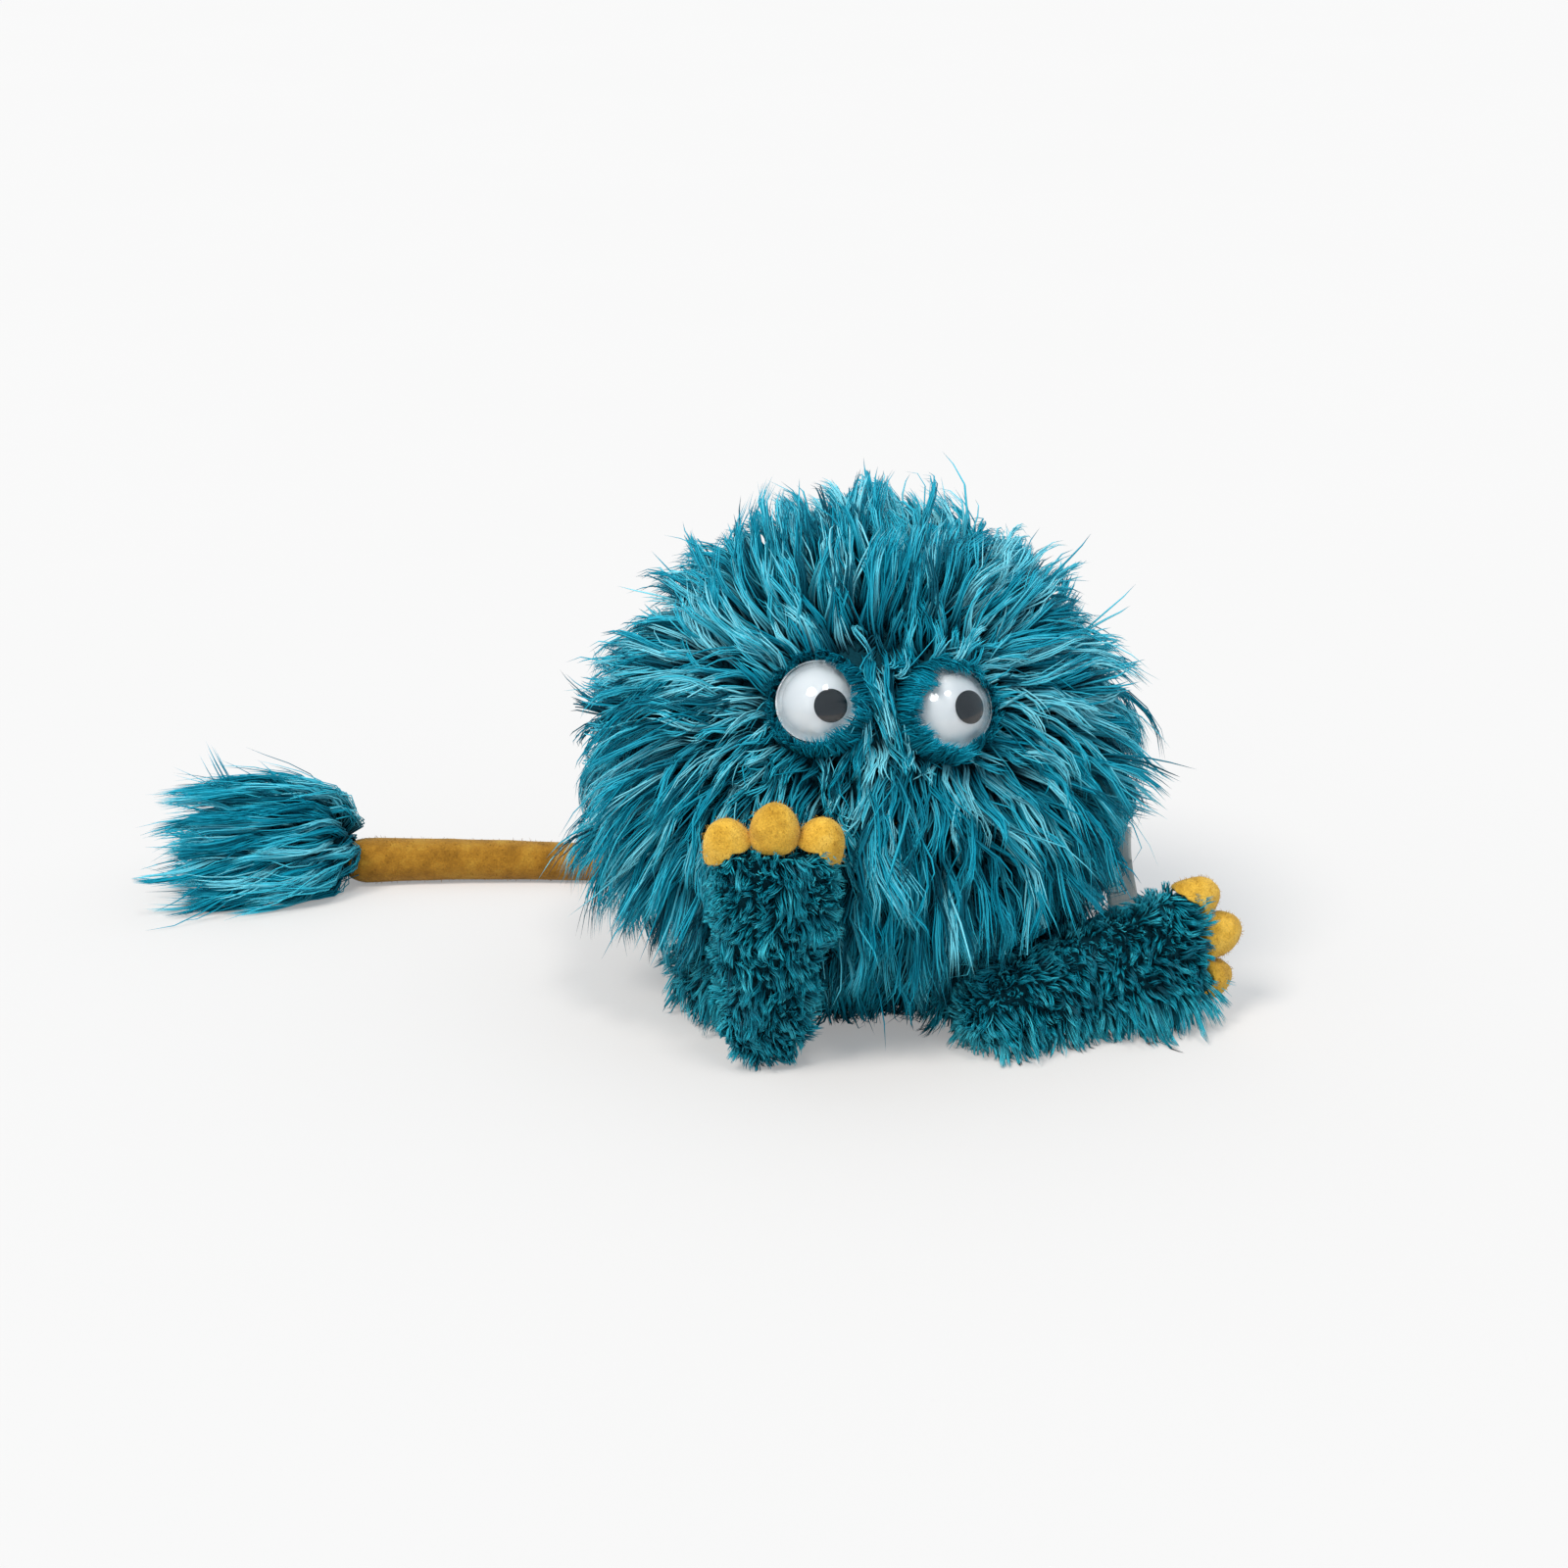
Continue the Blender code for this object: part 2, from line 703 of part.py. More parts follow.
def capsule(a, b, radius, end_radius=None, count=16, steps=5):
    """A round-ended tube between two points."""
    a, b = np.array(a, float), np.array(b, float)
    end_radius = radius if end_radius is None else end_radius
    axis = unit(b - a)
    length = float(np.linalg.norm(b - a))
    rises, radii = [], []
    for k in range(steps + 1):
        t = math.pi / 2 * k / steps
        rises.append(-radius * math.cos(t))
        radii.append(max(radius * math.sin(t), 0.4))
    for k in range(steps + 1):
        t = math.pi / 2 * k / steps
        rises.append(length + end_radius * math.sin(t))
        radii.append(max(end_radius * math.cos(t), 0.4))
    return loft(disc(a, axis, rises, radii, count))


def foot_frame(up, flip):
    """The foot's own directions: along to the toes, across, and out through the sole."""
    along = unit(up)
    sole = np.array((0.0, -1.0, 0.0))
    sole = unit(sole - along * float(sole @ along))
    return along, np.cross(sole, along) * flip, sole


def foot_rings(ankle, frame, trim, count=FOOT_SIDES):
    along, across, sole = frame
    rings = []
    stations = (-1.0, -0.94, -0.8, -0.55, -0.2, 0.25, 0.5, 0.75, 0.9, 0.97, 1.0)
    for s in stations:
        if s < 0:
            at = s * (HEEL_R - trim)
            wide = math.sqrt(max((HEEL_R - trim) ** 2 - at**2, 0.0))
            thick = (FOOT_HALF_T - trim) * math.sqrt(max(1 - s * s, 0.0)) ** 0.7
        else:
            at = s * (FOOT_LENGTH - trim)
            wide = HEEL_R + (TOE_HALF - HEEL_R) * smooth(s / 0.85) - trim
            thick = FOOT_HALF_T - trim
            drop = max((s - 0.8) / 0.2, 0.0)
            wide -= 5.0 * drop**2
            thick -= 4.5 * drop**2
        wide = max(wide, 1.2)
        thick = max(thick, 1.0)
        ring = []
        for k in range(count):
            t = 2 * math.pi * k / count
            c, q = math.cos(t), math.sin(t)
            a = wide * math.copysign(abs(c) ** 0.85, c)
            b = thick * math.copysign(abs(q) ** 0.85, q)
            ring.append(np.array(ankle) + along * at + across * a + sole * b)
        rings.append(ring)
    return rings


def leg(side, hip, thigh_r, ankle, up, flip):
    frame = foot_frame(up, flip)
    along, across, sole = frame
    ankle = np.array(ankle)
    thigh_end = ankle - sole * (FOOT_HALF_T + thigh_r + GAP - ANKLE_SINK)
    add(side + "_thigh", capsule(hip, thigh_end, thigh_r), DEEP_TEAL, 0.9, pin=hip)
    outer = foot_rings(ankle, frame, 0.0)
    inner = foot_rings(ankle, frame, FOOT_WALL)
    back_cols = [j for j in range(FOOT_SIDES) if abs((j + 0.5) * 360 / FOOT_SIDES - 270) < 10]
    bag = slab(outer, inner, around=True, closed_ends=True, skip=[(i, j) for i in (3, 4) for j in back_cols])
    add(side + "_foot_shell", bag, DEEP_TEAL, 0.9, pin=ankle)
    add(side + "_foot_stuffing", loft(foot_rings(ankle, frame, FOOT_WALL + GAP)), FILL, 0.95, pin=ankle)
    grown_foot = cutter(side + "_foot_room", loft(foot_rings(ankle, frame, -GAP)))
    for name, off, out_by, lean in TOES:
        centre = ankle + along * (FOOT_LENGTH + out_by) + across * off
        point = unit(along + across * lean)
        wide = np.cross(sole, point)
        rings = []
        for k in range(9):
            t = math.pi * k / 8
            r = max(math.sin(t), 0.04)
            ring = []
            for m in range(12):
                q = 2 * math.pi * m / 12
                ring.append(
                    centre
                    - point * TOE_SEMI[0] * math.cos(t)
                    + wide * TOE_SEMI[1] * r * math.cos(q)
                    + sole * TOE_SEMI[2] * r * math.sin(q)
                )
            rings.append(ring)
        toe = add(side + "_toe_" + name, loft(rings), MUSTARD, 0.95, pin=ankle)
        cut(toe, grown_foot)


leg("left", LEFT_HIP, THIGH_R, LEFT_ANKLE, LEFT_FOOT_UP, -1)
leg("right", RIGHT_HIP, RIGHT_THIGH_R, RIGHT_ANKLE, RIGHT_FOOT_UP, 1)

# ---- Tail ----


def tail_rings(shrink, count=12):
    path = np.array([p[:3] for p in TAIL_PATH])
    radii = [p[3] for p in TAIL_PATH]
    fine, thick = [], []
    for i in range(len(path) - 1):
        p0 = path[max(i - 1, 0)]
        p1 = path[i]
        p2 = path[i + 1]
        p3 = path[min(i + 2, len(path) - 1)]
        for k in range(2):
            t = k / 2
            fine.append(
                0.5
                * (
                    2 * p1
                    + (p2 - p0) * t
                    + (2 * p0 - 5 * p1 + 4 * p2 - p3) * t**2
                    + (3 * p1 - 3 * p2 + p3 - p0) * t**3
                )
            )
            thick.append(radii[i] + (radii[i + 1] - radii[i]) * t)
    fine.append(path[-1])
    thick.append(radii[-1])
    rings = []
    root = unit(fine[1] - fine[0])
    tip = unit(fine[-1] - fine[-2])
    for t in ROUND_ENDS[::-1]:
        r = thick[0] - shrink
        rise, radius = -r * math.sin(math.radians(t)), r * math.cos(math.radians(t))
        rings.append(disc(fine[0], root, (rise,), (radius,), count)[0])
    for i, (p, r) in enumerate(zip(fine, thick)):
        axis = unit(fine[min(i + 1, len(fine) - 1)] - fine[max(i - 1, 0)])
        rings.append(disc(p, axis, (0.0,), (r - shrink,), count)[0])
    for t in ROUND_ENDS:
        r = thick[-1] - shrink
        rise, radius = r * math.sin(math.radians(t)), r * math.cos(math.radians(t))
        rings.append(disc(fine[-1], tip, (rise,), (radius,), count)[0])
    return rings


TAIL_PIN = TAIL_PATH[0][:3]
TUFT_PIN = TAIL_PATH[-1][:3]
add("tail_tube", slab(tail_rings(0.0), tail_rings(TAIL_WALL), around=True), MUSTARD, 0.95, pin=TAIL_PIN)
add("tail_core", loft(tail_rings(TAIL_WALL + GAP)), FILL, 0.95, pin=TAIL_PIN)

TUFT_END = np.array((TUFT_PIN[0] - TUFT_LENGTH, 112.0, 15.0))
# Distance from the pin, and radius
TUFT_STATIONS = (
    (11.3, 1.2),
    (10.0, 5.6),
    (6.9, 9.8),
    (7.2, 13.0),
    (10.5, 18.0),
    (17.0, 22.5),
    (27.0, 25.2),
    (40.0, 25.5),
    (54.0, 22.5),
    (68.0, 16.5),
    (80.0, 9.0),
    (88.0, 3.0),
)
tuft_rings = []
for out_by, radius in TUFT_STATIONS:
    t = out_by / TUFT_LENGTH
    mid = np.array(TUFT_PIN) + (TUFT_END - np.array(TUFT_PIN)) * t
    mid[2] = max(TUFT_PIN[2], radius + 0.4) + 4.0 * max(t - 0.5, 0.0)
    ring = []
    for k in range(20):
        q = 2 * math.pi * k / 20
        ring.append(mid + np.array((0.0, radius * math.cos(q), radius * math.sin(q))))
    tuft_rings.append(ring)
add("tail_tuft", loft(tuft_rings), TEAL, 0.85, pin=TUFT_PIN)
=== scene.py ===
"""The looks of a shaggy moving-mouth puppet: combed long pile, curly pile on the legs, felt toes and tail,
domed eyes, mouth lining and hand sleeve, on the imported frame. Metres, +Z up, the face looks along -Y."""

import math

import bmesh
import bpy
import numpy as np
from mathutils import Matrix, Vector, kdtree, noise
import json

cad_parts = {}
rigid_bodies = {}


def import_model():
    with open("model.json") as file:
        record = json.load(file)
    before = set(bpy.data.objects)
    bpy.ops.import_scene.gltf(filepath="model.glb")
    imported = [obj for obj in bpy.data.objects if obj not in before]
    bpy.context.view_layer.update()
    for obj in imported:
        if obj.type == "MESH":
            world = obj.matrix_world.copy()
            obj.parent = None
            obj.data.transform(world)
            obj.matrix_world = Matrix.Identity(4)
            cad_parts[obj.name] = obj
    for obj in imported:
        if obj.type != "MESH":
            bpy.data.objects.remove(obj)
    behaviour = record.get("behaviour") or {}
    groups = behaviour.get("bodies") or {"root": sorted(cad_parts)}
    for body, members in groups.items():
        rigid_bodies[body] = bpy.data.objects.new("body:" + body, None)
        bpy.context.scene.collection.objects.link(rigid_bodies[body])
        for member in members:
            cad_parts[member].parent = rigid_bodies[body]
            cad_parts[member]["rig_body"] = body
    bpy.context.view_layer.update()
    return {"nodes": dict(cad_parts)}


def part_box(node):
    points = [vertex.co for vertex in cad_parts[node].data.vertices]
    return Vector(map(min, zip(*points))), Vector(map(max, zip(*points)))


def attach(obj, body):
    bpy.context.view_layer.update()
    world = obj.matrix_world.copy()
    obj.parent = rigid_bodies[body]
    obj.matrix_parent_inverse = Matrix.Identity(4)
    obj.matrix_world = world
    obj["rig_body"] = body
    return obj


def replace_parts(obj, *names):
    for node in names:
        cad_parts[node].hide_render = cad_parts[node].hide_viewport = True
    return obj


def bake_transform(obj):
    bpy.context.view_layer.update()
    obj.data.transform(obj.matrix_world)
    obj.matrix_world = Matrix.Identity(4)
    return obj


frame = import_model()
NODES = frame["nodes"]
noise.seed_set(11)
MM = 0.001


def unit(v):
    v = np.asarray(v, float)
    return v / np.maximum(np.linalg.norm(v, axis=-1, keepdims=True), 1e-9)


def smooth(t):
    t = np.clip(t, 0.0, 1.0)
    return t * t * (3 - 2 * t)


def mix(a, b, t):
    return a + (b - a) * t


def dot(a, b):
    return (a * b).sum(axis=-1, keepdims=True)


# ---- Finishes ----


def finish(name, **settings):
    """A new material and its Principled shader, with steady numbers set on the shader itself."""
    made = bpy.data.materials.new(name)
    made.use_nodes = True
    shader = made.node_tree.nodes["Principled BSDF"]
    for socket, value in settings.items():
        shader.inputs[socket.replace("_", " ")].default_value = value
    return made, made.node_tree, shader


def link(tree, out, into):
    tree.links.new(out, into)


def ramp(tree, factor, stops):
    node = tree.nodes.new("ShaderNodeValToRGB")
    while len(node.color_ramp.elements) < len(stops):
        node.color_ramp.elements.new(0.5)
    for element, (at, colour) in zip(node.color_ramp.elements, stops):
        element.position = at
        element.color = (*colour, 1.0)
    link(tree, factor, node.inputs["Fac"])
    return node.outputs["Color"]


def grain(tree, scale, detail=4.0, rough=0.6):
    """Noise on the piece's own place, in cycles per metre."""
    place = tree.nodes.new("ShaderNodeTexCoord")
    node = tree.nodes.new("ShaderNodeTexNoise")
    node.inputs["Scale"].default_value = scale
    node.inputs["Detail"].default_value = detail
    node.inputs["Roughness"].default_value = rough
    link(tree, place.outputs["Object"], node.inputs["Vector"])
    return node.outputs["Fac"]


def mixed(tree, a, b, factor, kind="MIX"):
    node = tree.nodes.new("ShaderNodeMix")
    node.data_type = "RGBA"
    node.blend_type = kind
    for socket, value in ((node.inputs[6], a), (node.inputs[7], b), (node.inputs[0], factor)):
        if isinstance(value, tuple):
            socket.default_value = (*value, 1.0)
        elif isinstance(value, float):
            socket.default_value = value
        else:
            link(tree, value, socket)
    return node.outputs[2]


def raised(tree, shader, height, strength, distance):
    bump = tree.nodes.new("ShaderNodeBump")
    bump.inputs["Strength"].default_value = strength
    bump.inputs["Distance"].default_value = distance
    link(tree, height, bump.inputs["Height"])
    link(tree, bump.outputs["Normal"], shader.inputs["Normal"])


def pile_finish(name, tones, painted_root_shade, painted_tip_highlight, rough=0.55, gloss=0.09):
    """Dyed pile: the map's width picks a lock's dye tone, and its height runs from root to tip, with painted shade at
    the roots and a painted highlight at the tips.
    """
    made, tree, shader = finish(name, Roughness=rough, Specular_IOR_Level=gloss)
    uv = tree.nodes.new("ShaderNodeUVMap")
    uv.uv_map = "OFBake"
    parts = tree.nodes.new("ShaderNodeSeparateXYZ")
    link(tree, uv.outputs["UV"], parts.inputs[0])
    steps = len(tones) - 1
    dye = ramp(tree, parts.outputs[0], [(i / steps, c) for i, c in enumerate(tones)])
    # Painted shade darkens each strand towards its root and a painted highlight lightens its tip.
    along = ramp(tree, parts.outputs[1], [(0.0, painted_root_shade), (0.45, (0.85, 0.85, 0.85)), (1.0, painted_tip_highlight)])
    link(tree, mixed(tree, dye, along, 1.0, "MULTIPLY"), shader.inputs["Base Color"])
    return made


TEAL_DEEP, TEAL_DARK = (0.0010, 0.040, 0.062), (0.0015, 0.120, 0.180)
TEAL, TEAL_LIGHT, TEAL_PALE = (0.0015, 0.262, 0.380), (0.036, 0.440, 0.575), (0.205, 0.645, 0.750)

# In both piles the last two colours given are the painted root shade and the painted tip highlight.
long_pile = pile_finish(
    "long_teal_pile",
    [TEAL_DEEP, TEAL_DARK, TEAL, TEAL_LIGHT, TEAL_PALE],
    (0.20, 0.22, 0.25),
    (1.45, 1.38, 1.36),
)
curly_pile = pile_finish(
    "curly_teal_pile",
    [TEAL_DEEP, (0.0010, 0.085, 0.125), (0.0020, 0.175, 0.250), (0.006, 0.300, 0.400), (0.045, 0.450, 0.550)],
    (0.25, 0.28, 0.32),
    (1.40, 1.35, 1.32),
    0.42,
    0.22,
)


def backing_finish():
    made, tree, shader = finish("pile_backing", Roughness=0.95, Specular_IOR_Level=0.1)
    colour = mixed(tree, (0.001, 0.018, 0.028), (0.004, 0.055, 0.075), grain(tree, 900.0))
    link(tree, colour, shader.inputs["Base Color"])
    raised(tree, shader, grain(tree, 1600.0, 2.0), 0.6, 0.0006)
    return made


def felt_finish(name, dark, mid, light):
    """Pressed wool felt: cloudy colour with fine fibres over it."""
    made, tree, shader = finish(name, Roughness=0.92, Specular_IOR_Level=0.15, Sheen_Weight=0.35)
    shader.inputs["Sheen Tint"].default_value = (1.0, 0.78, 0.4, 1.0)
    clouds = ramp(tree, grain(tree, 95.0, 5.0, 0.65), [(0.30, dark), (0.52, mid), (0.72, light)])
    fibres = ramp(tree, grain(tree, 1500.0, 3.0, 0.7), [(0.30, (0.72, 0.70, 0.66)), (0.70, (1.15, 1.14, 1.1))])
    link(tree, mixed(tree, clouds, fibres, 1.0, "MULTIPLY"), shader.inputs["Base Color"])
    raised(tree, shader, grain(tree, 1100.0, 4.0, 0.75), 0.55, 0.0008)
    return made


pile_backing = backing_finish()
tail_felt = felt_finish("mustard_tail_felt", (0.20, 0.085, 0.006), (0.36, 0.165, 0.015), (0.46, 0.245, 0.030))
toe_felt = felt_finish("ochre_toe_felt", (0.46, 0.235, 0.020), (0.72, 0.410, 0.048), (0.84, 0.530, 0.095))
mouth_felt = felt_finish("mustard_mouth_felt", (0.42, 0.19, 0.010), (0.60, 0.300, 0.022), (0.70, 0.40, 0.045))


def woven_finish(name, dark, light, threads=1400.0, rough=0.85, sheen=0.1):
    """A plain weave: two sets of ribs at right angles, with a little slub."""
    made, tree, shader = finish(name, Roughness=rough, Specular_IOR_Level=0.25, Sheen_Weight=sheen)
    place = tree.nodes.new("ShaderNodeTexCoord")
    ribs = []
    for direction in ("X", "Z"):
        wave = tree.nodes.new("ShaderNodeTexWave")
        wave.bands_direction = direction
        wave.inputs["Scale"].default_value = threads / 6.28
        wave.inputs["Distortion"].default_value = 0.6
        link(tree, place.outputs["Object"], wave.inputs["Vector"])
        ribs.append(wave.outputs["Fac"])
    weave = mixed(tree, ribs[0], ribs[1], 0.5)
    slub = mixed(tree, weave, grain(tree, 260.0), 0.35)
    link(tree, ramp(tree, slub, [(0.2, dark), (0.8, light)]), shader.inputs["Base Color"])
    raised(tree, shader, weave, 0.4, 0.0003)
    return made


lining_cloth = woven_finish("dark_lining_cloth", (0.010, 0.014, 0.018), (0.040, 0.052, 0.060))
bag_cloth = woven_finish("pellet_bag_cloth", (0.30, 0.29, 0.26), (0.55, 0.53, 0.49), 1000.0)
ribbon_satin = woven_finish("bare_satin_ribbon", (0.86, 0.82, 0.76), (0.96, 0.94, 0.90), 3200.0, 0.38, 0.3)


def speckled_finish(name, dark, light, scale, rough, height=0.4, distance=0.0006, **more):
    """A mottled finish with a matching fine relief, for fibre fill, board and moulded washers."""
    made, tree, shader = finish(name, Roughness=rough, **more)
    link(tree, ramp(tree, grain(tree, scale), [(0.3, dark), (0.7, light)]), shader.inputs["Base Color"])
    raised(tree, shader, grain(tree, scale * 2.2, 3.0), height, distance)
    return made


fibre_fill = speckled_finish("white_fibre_fill", (0.62, 0.62, 0.60), (0.88, 0.88, 0.86), 420.0, 0.95, 0.8, 0.002)
mouth_board = speckled_finish("fibre_board", (0.36, 0.26, 0.16), (0.55, 0.42, 0.28), 700.0, 0.8)
washer_plastic = speckled_finish("washer_plastic", (0.74, 0.74, 0.72), (0.82, 0.82, 0.80), 300.0, 0.4, 0.15)
eye_white = speckled_finish(
    "eye_white_gloss", (0.90, 0.92, 0.94), (0.95, 0.96, 0.97), 60.0, 0.22, 0.04, 0.0004, Coat_Weight=0.6
)
pupil_black = speckled_finish(
    "pupil_black_gloss",
    (0.002, 0.002, 0.003),
    (0.006, 0.006, 0.008),
    400.0,
    0.45,
    0.03,
    0.0002,
    Specular_IOR_Level=0.08,
)


def clear_dome_finish():
    made, tree, shader = finish(
        "clear_dome_acrylic", IOR=1.45, Transmission_Weight=1.0, Roughness=0.03, Specular_IOR_Level=0.12
    )
    haze = ramp(tree, grain(tree, 80.0), [(0.2, (0.98, 0.985, 0.99)), (0.8, (0.99, 1.0, 1.0))])
    link(tree, haze, shader.inputs["Base Color"])
    return made


eye_clear = clear_dome_finish()


# ---- Pieces ----


def keep(bm, name, material, body, round_faces=True):
    """Turns a bmesh into a finished piece that rides on a body."""
    bmesh.ops.recalc_face_normals(bm, faces=bm.faces[:])
    mesh = bpy.data.meshes.new(name)
    bm.to_mesh(mesh)
    bm.free()
    mesh.polygons.foreach_set("use_smooth", [round_faces] * len(mesh.polygons))
    mesh.materials.append(material)
    piece = bpy.data.objects.new(name, mesh)
    bpy.context.scene.collection.objects.link(piece)
    if body:
        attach(piece, body)
    return piece


def copy_of(node):
    """A merged copy of a frame solid, to be worked on."""
    bm = bmesh.new()
    bm.from_mesh(NODES[node].data)
    bmesh.ops.remove_doubles(bm, verts=bm.verts[:], dist=1e-5)
    bm.normal_update()
    return bm


def points_of(bm):
    return np.array([v.co[:] for v in bm.verts])


def lay(bm, points):
    for v, p in zip(bm.verts, points):
        v.co = p


# ---- The ball's root surface, and the sectors that open at the mouth hinge ----

HINGE = np.array((0.0, 12.0, 100.0)) * MM
BALL_MID = np.array((0.0, 0.0, 98.0)) * MM
UPPER_SEMI = np.array((90.0, 88.0, 90.0)) * MM
LOWER_SEMI = np.array((88.0, 82.0, 93.0)) * MM
LOWER_SHIFT = np.array((0.0, 4.0, 0.0)) * MM
HEAD, NECK, BODY = (2.0, 146.4), (146.4, 190.0), (190.0, 314.0)
THROAT, CHIN = (314.0, 333.8), (333.8, 358.0)
OPENING_FROM, OPENING_TO, OPENING_HALF = 196.0, 228.0, 0.046


def root_point(out):
    """The point of the pile's backing along each direction from the ball's middle."""
    low = smooth(-out[:, 2:3] / 0.55)
    return BALL_MID + LOWER_SHIFT * low + out * mix(UPPER_SEMI, LOWER_SEMI, low)


def surface_out(points):
    low = smooth((BALL_MID[2] - points[:, 2:3]) / (0.55 * UPPER_SEMI[2]))
    semi = mix(UPPER_SEMI, LOWER_SEMI, low)
    away = points - BALL_MID - LOWER_SHIFT * low
    return unit(away / semi**2), np.linalg.norm(away / semi, axis=1, keepdims=True)


def hinge_angle(points):
    """Degrees round the mouth hinge from straight ahead, upward first."""
    return np.degrees(np.arctan2(points[:, 2] - HINGE[2], -(points[:, 1] - HINGE[1]))) % 360


def ball_backing(name, node, sector, body, wall, opening=False):
    """The pile's cloth backing over one sector of the ball, with the hand opening cut out of the body's."""
    bm = bmesh.new()
    bmesh.ops.create_uvsphere(bm, u_segments=72, v_segments=44, radius=1.0)
    lay(bm, root_point(unit(points_of(bm))))
    cuts = [(math.radians(sector[0]), "inner"), (math.radians(sector[1]), "outer")]
    for angle, side in cuts:
        normal = (0.0, math.sin(angle), math.cos(angle))
        bmesh.ops.bisect_plane(
            bm,
            geom=bm.verts[:] + bm.edges[:] + bm.faces[:],
            dist=1e-6,
            plane_co=Vector(HINGE),
            plane_no=normal,
            clear_inner=side == "inner",
            clear_outer=side == "outer",
        )
    if opening:
        ends = (math.radians(OPENING_FROM), math.radians(OPENING_TO))
        planes = [((0.0, math.sin(a), math.cos(a)), Vector(HINGE)) for a in ends]
        planes += [((1.0, 0.0, 0.0), Vector((x, 0.0, 0.0))) for x in (-OPENING_HALF, OPENING_HALF)]
        for normal, at in planes:
            bmesh.ops.bisect_plane(
                bm, geom=bm.verts[:] + bm.edges[:] + bm.faces[:], dist=1e-6, plane_co=at, plane_no=normal
            )
        middles = np.array([f.calc_center_median()[:] for f in bm.faces])
        angles = hinge_angle(middles)
        inside = (angles > OPENING_FROM) & (angles < OPENING_TO) & (np.abs(middles[:, 0]) < OPENING_HALF)
        bmesh.ops.delete(bm, geom=[f for f, cut in zip(bm.faces[:], inside) if cut], context="FACES")
    bmesh.ops.recalc_face_normals(bm, faces=bm.faces[:])
    middle = np.array([f.calc_center_median()[:] for f in bm.faces])
    facing = np.array([f.normal[:] for f in bm.faces])
    if (facing * (middle - BALL_MID)).sum() < 0:
        bmesh.ops.reverse_faces(bm, faces=bm.faces[:])
    bmesh.ops.solidify(bm, geom=bm.faces[:], thickness=wall)
    piece = keep(bm, name, pile_backing, body)
    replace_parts(piece, node)
    return piece


ball_backing("head_backing", "head_fur_shell", HEAD, "head", 0.005)
ball_backing("body_backing", "body_fur_shell", BODY, "body", 0.003, opening=True)
ball_backing("chin_backing", "chin_fur_shell", CHIN, "lower_jaw", 0.015)
neck_backing = ball_backing("neck_backing", "neck_gusset", NECK, None, 0.002)
throat_backing = ball_backing("throat_backing", "throat_gusset", THROAT, None, 0.002)
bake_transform(neck_backing)
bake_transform(throat_backing)

# ---- Eyes ----

EYE_R = 0.0165
LEFT_EYE = unit((-27.9, -82.8, 53.8))
RIGHT_EYE = unit((24.6, -85.6, 51.2))
RIM, DOME_MID, DOME_R, WHITE_R = 0.0996, 0.090494, 0.018906, 0.016406
PUPIL_R = 0.0061


def turned_piece(name, section, aim, material, body, steps=64):
    """A piece turned on a lathe about an eye's aim: section holds distance out along the aim, and radius."""
    side = Vector(unit(np.cross(aim, (0.0, 0.0, 1.0))))
    aim = Vector(aim)
    bm = bmesh.new()
    verts = [bm.verts.new(Vector(BALL_MID) + aim * out + side * radius) for out, radius in section]
    for a, b in zip(verts, verts[1:]):
        bm.edges.new((a, b))
    bmesh.ops.spin(
        bm,
        geom=bm.verts[:] + bm.edges[:],
        cent=Vector(BALL_MID),
        axis=aim,
        angle=2 * math.pi,
        steps=steps,
        use_merge=True,
    )
    bmesh.ops.remove_doubles(bm, verts=bm.verts[:], dist=2e-6)
    return keep(bm, name, material, body)


def cap(radius, mid, start, steps):
    """A round cap's section from its foot, at this distance out, to its top."""
    wide = math.acos((start - mid) / radius)
    turns = [wide * (1 - k / steps) for k in range(steps + 1)]
    return [(mid + radius * math.cos(t), max(radius * math.sin(t), 0.0)) for t in turns]


def make_eye(side, aim, turn, aside):
    body = side + "_eye"
    white = [(0.083, 0.0), (0.083, 0.0026), (0.0974, 0.0026), (0.0974, 0.0163), (0.0978, EYE_R), (0.0994, EYE_R)]
    white += [(RIM, 0.0163)] + cap(WHITE_R, DOME_MID, RIM, 14)
    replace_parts(turned_piece(side + "_eye_white", white, aim, eye_white, body), side + "_eye_cup")
    foot = 0.0999
    outside = cap(DOME_R, DOME_MID, foot, 18)
    inside = cap(DOME_R - 0.0012, DOME_MID, foot, 18)
    dome = turned_piece(side + "_clear_dome", inside[::-1] + outside, aim, eye_clear, body)
    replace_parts(dome, side + "_eye_dome")
    flat = unit(np.cross((0, 0, 1), aim))
    up = np.cross(aim, flat)
    toward = flat * math.cos(math.radians(turn)) + up * math.sin(math.radians(turn))
    tilt = math.asin(aside / WHITE_R)
    look = aim * math.cos(tilt) + toward * math.sin(tilt)
    centre = Vector(BALL_MID + aim * DOME_MID)
    bm = bmesh.new()
    across = Vector(unit(np.cross(look, (0.0, 0.0, 1.0))))
    edge = math.asin(PUPIL_R / (WHITE_R + 0.0003))
    low = [(WHITE_R + 0.0003, edge * k / 5) for k in range(6)]
    high = [(WHITE_R + 0.0007, edge)] + [(WHITE_R + 0.00095, edge * 0.985 * (5 - k) / 5) for k in range(6)]
    verts = []
    for radius, t in low + high:
        verts.append(bm.verts.new(centre + Vector(look) * radius * math.cos(t) + across * radius * math.sin(t)))
    for a, b in zip(verts, verts[1:]):
        bm.edges.new((a, b))
    bmesh.ops.spin(
        bm, geom=bm.verts[:] + bm.edges[:], cent=centre, axis=Vector(look), angle=2 * math.pi, steps=48, use_merge=True
    )
    bmesh.ops.remove_doubles(bm, verts=bm.verts[:], dist=2e-6)
    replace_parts(keep(bm, side + "_pupil_disc", pupil_black, body), side + "_pupil")


make_eye("left", LEFT_EYE, -20.0, 0.0072)
make_eye("right", RIGHT_EYE, -24.0, 0.0048)

# ---- Legs: where they lie, for their own pile and for the long pile that they press aside ----

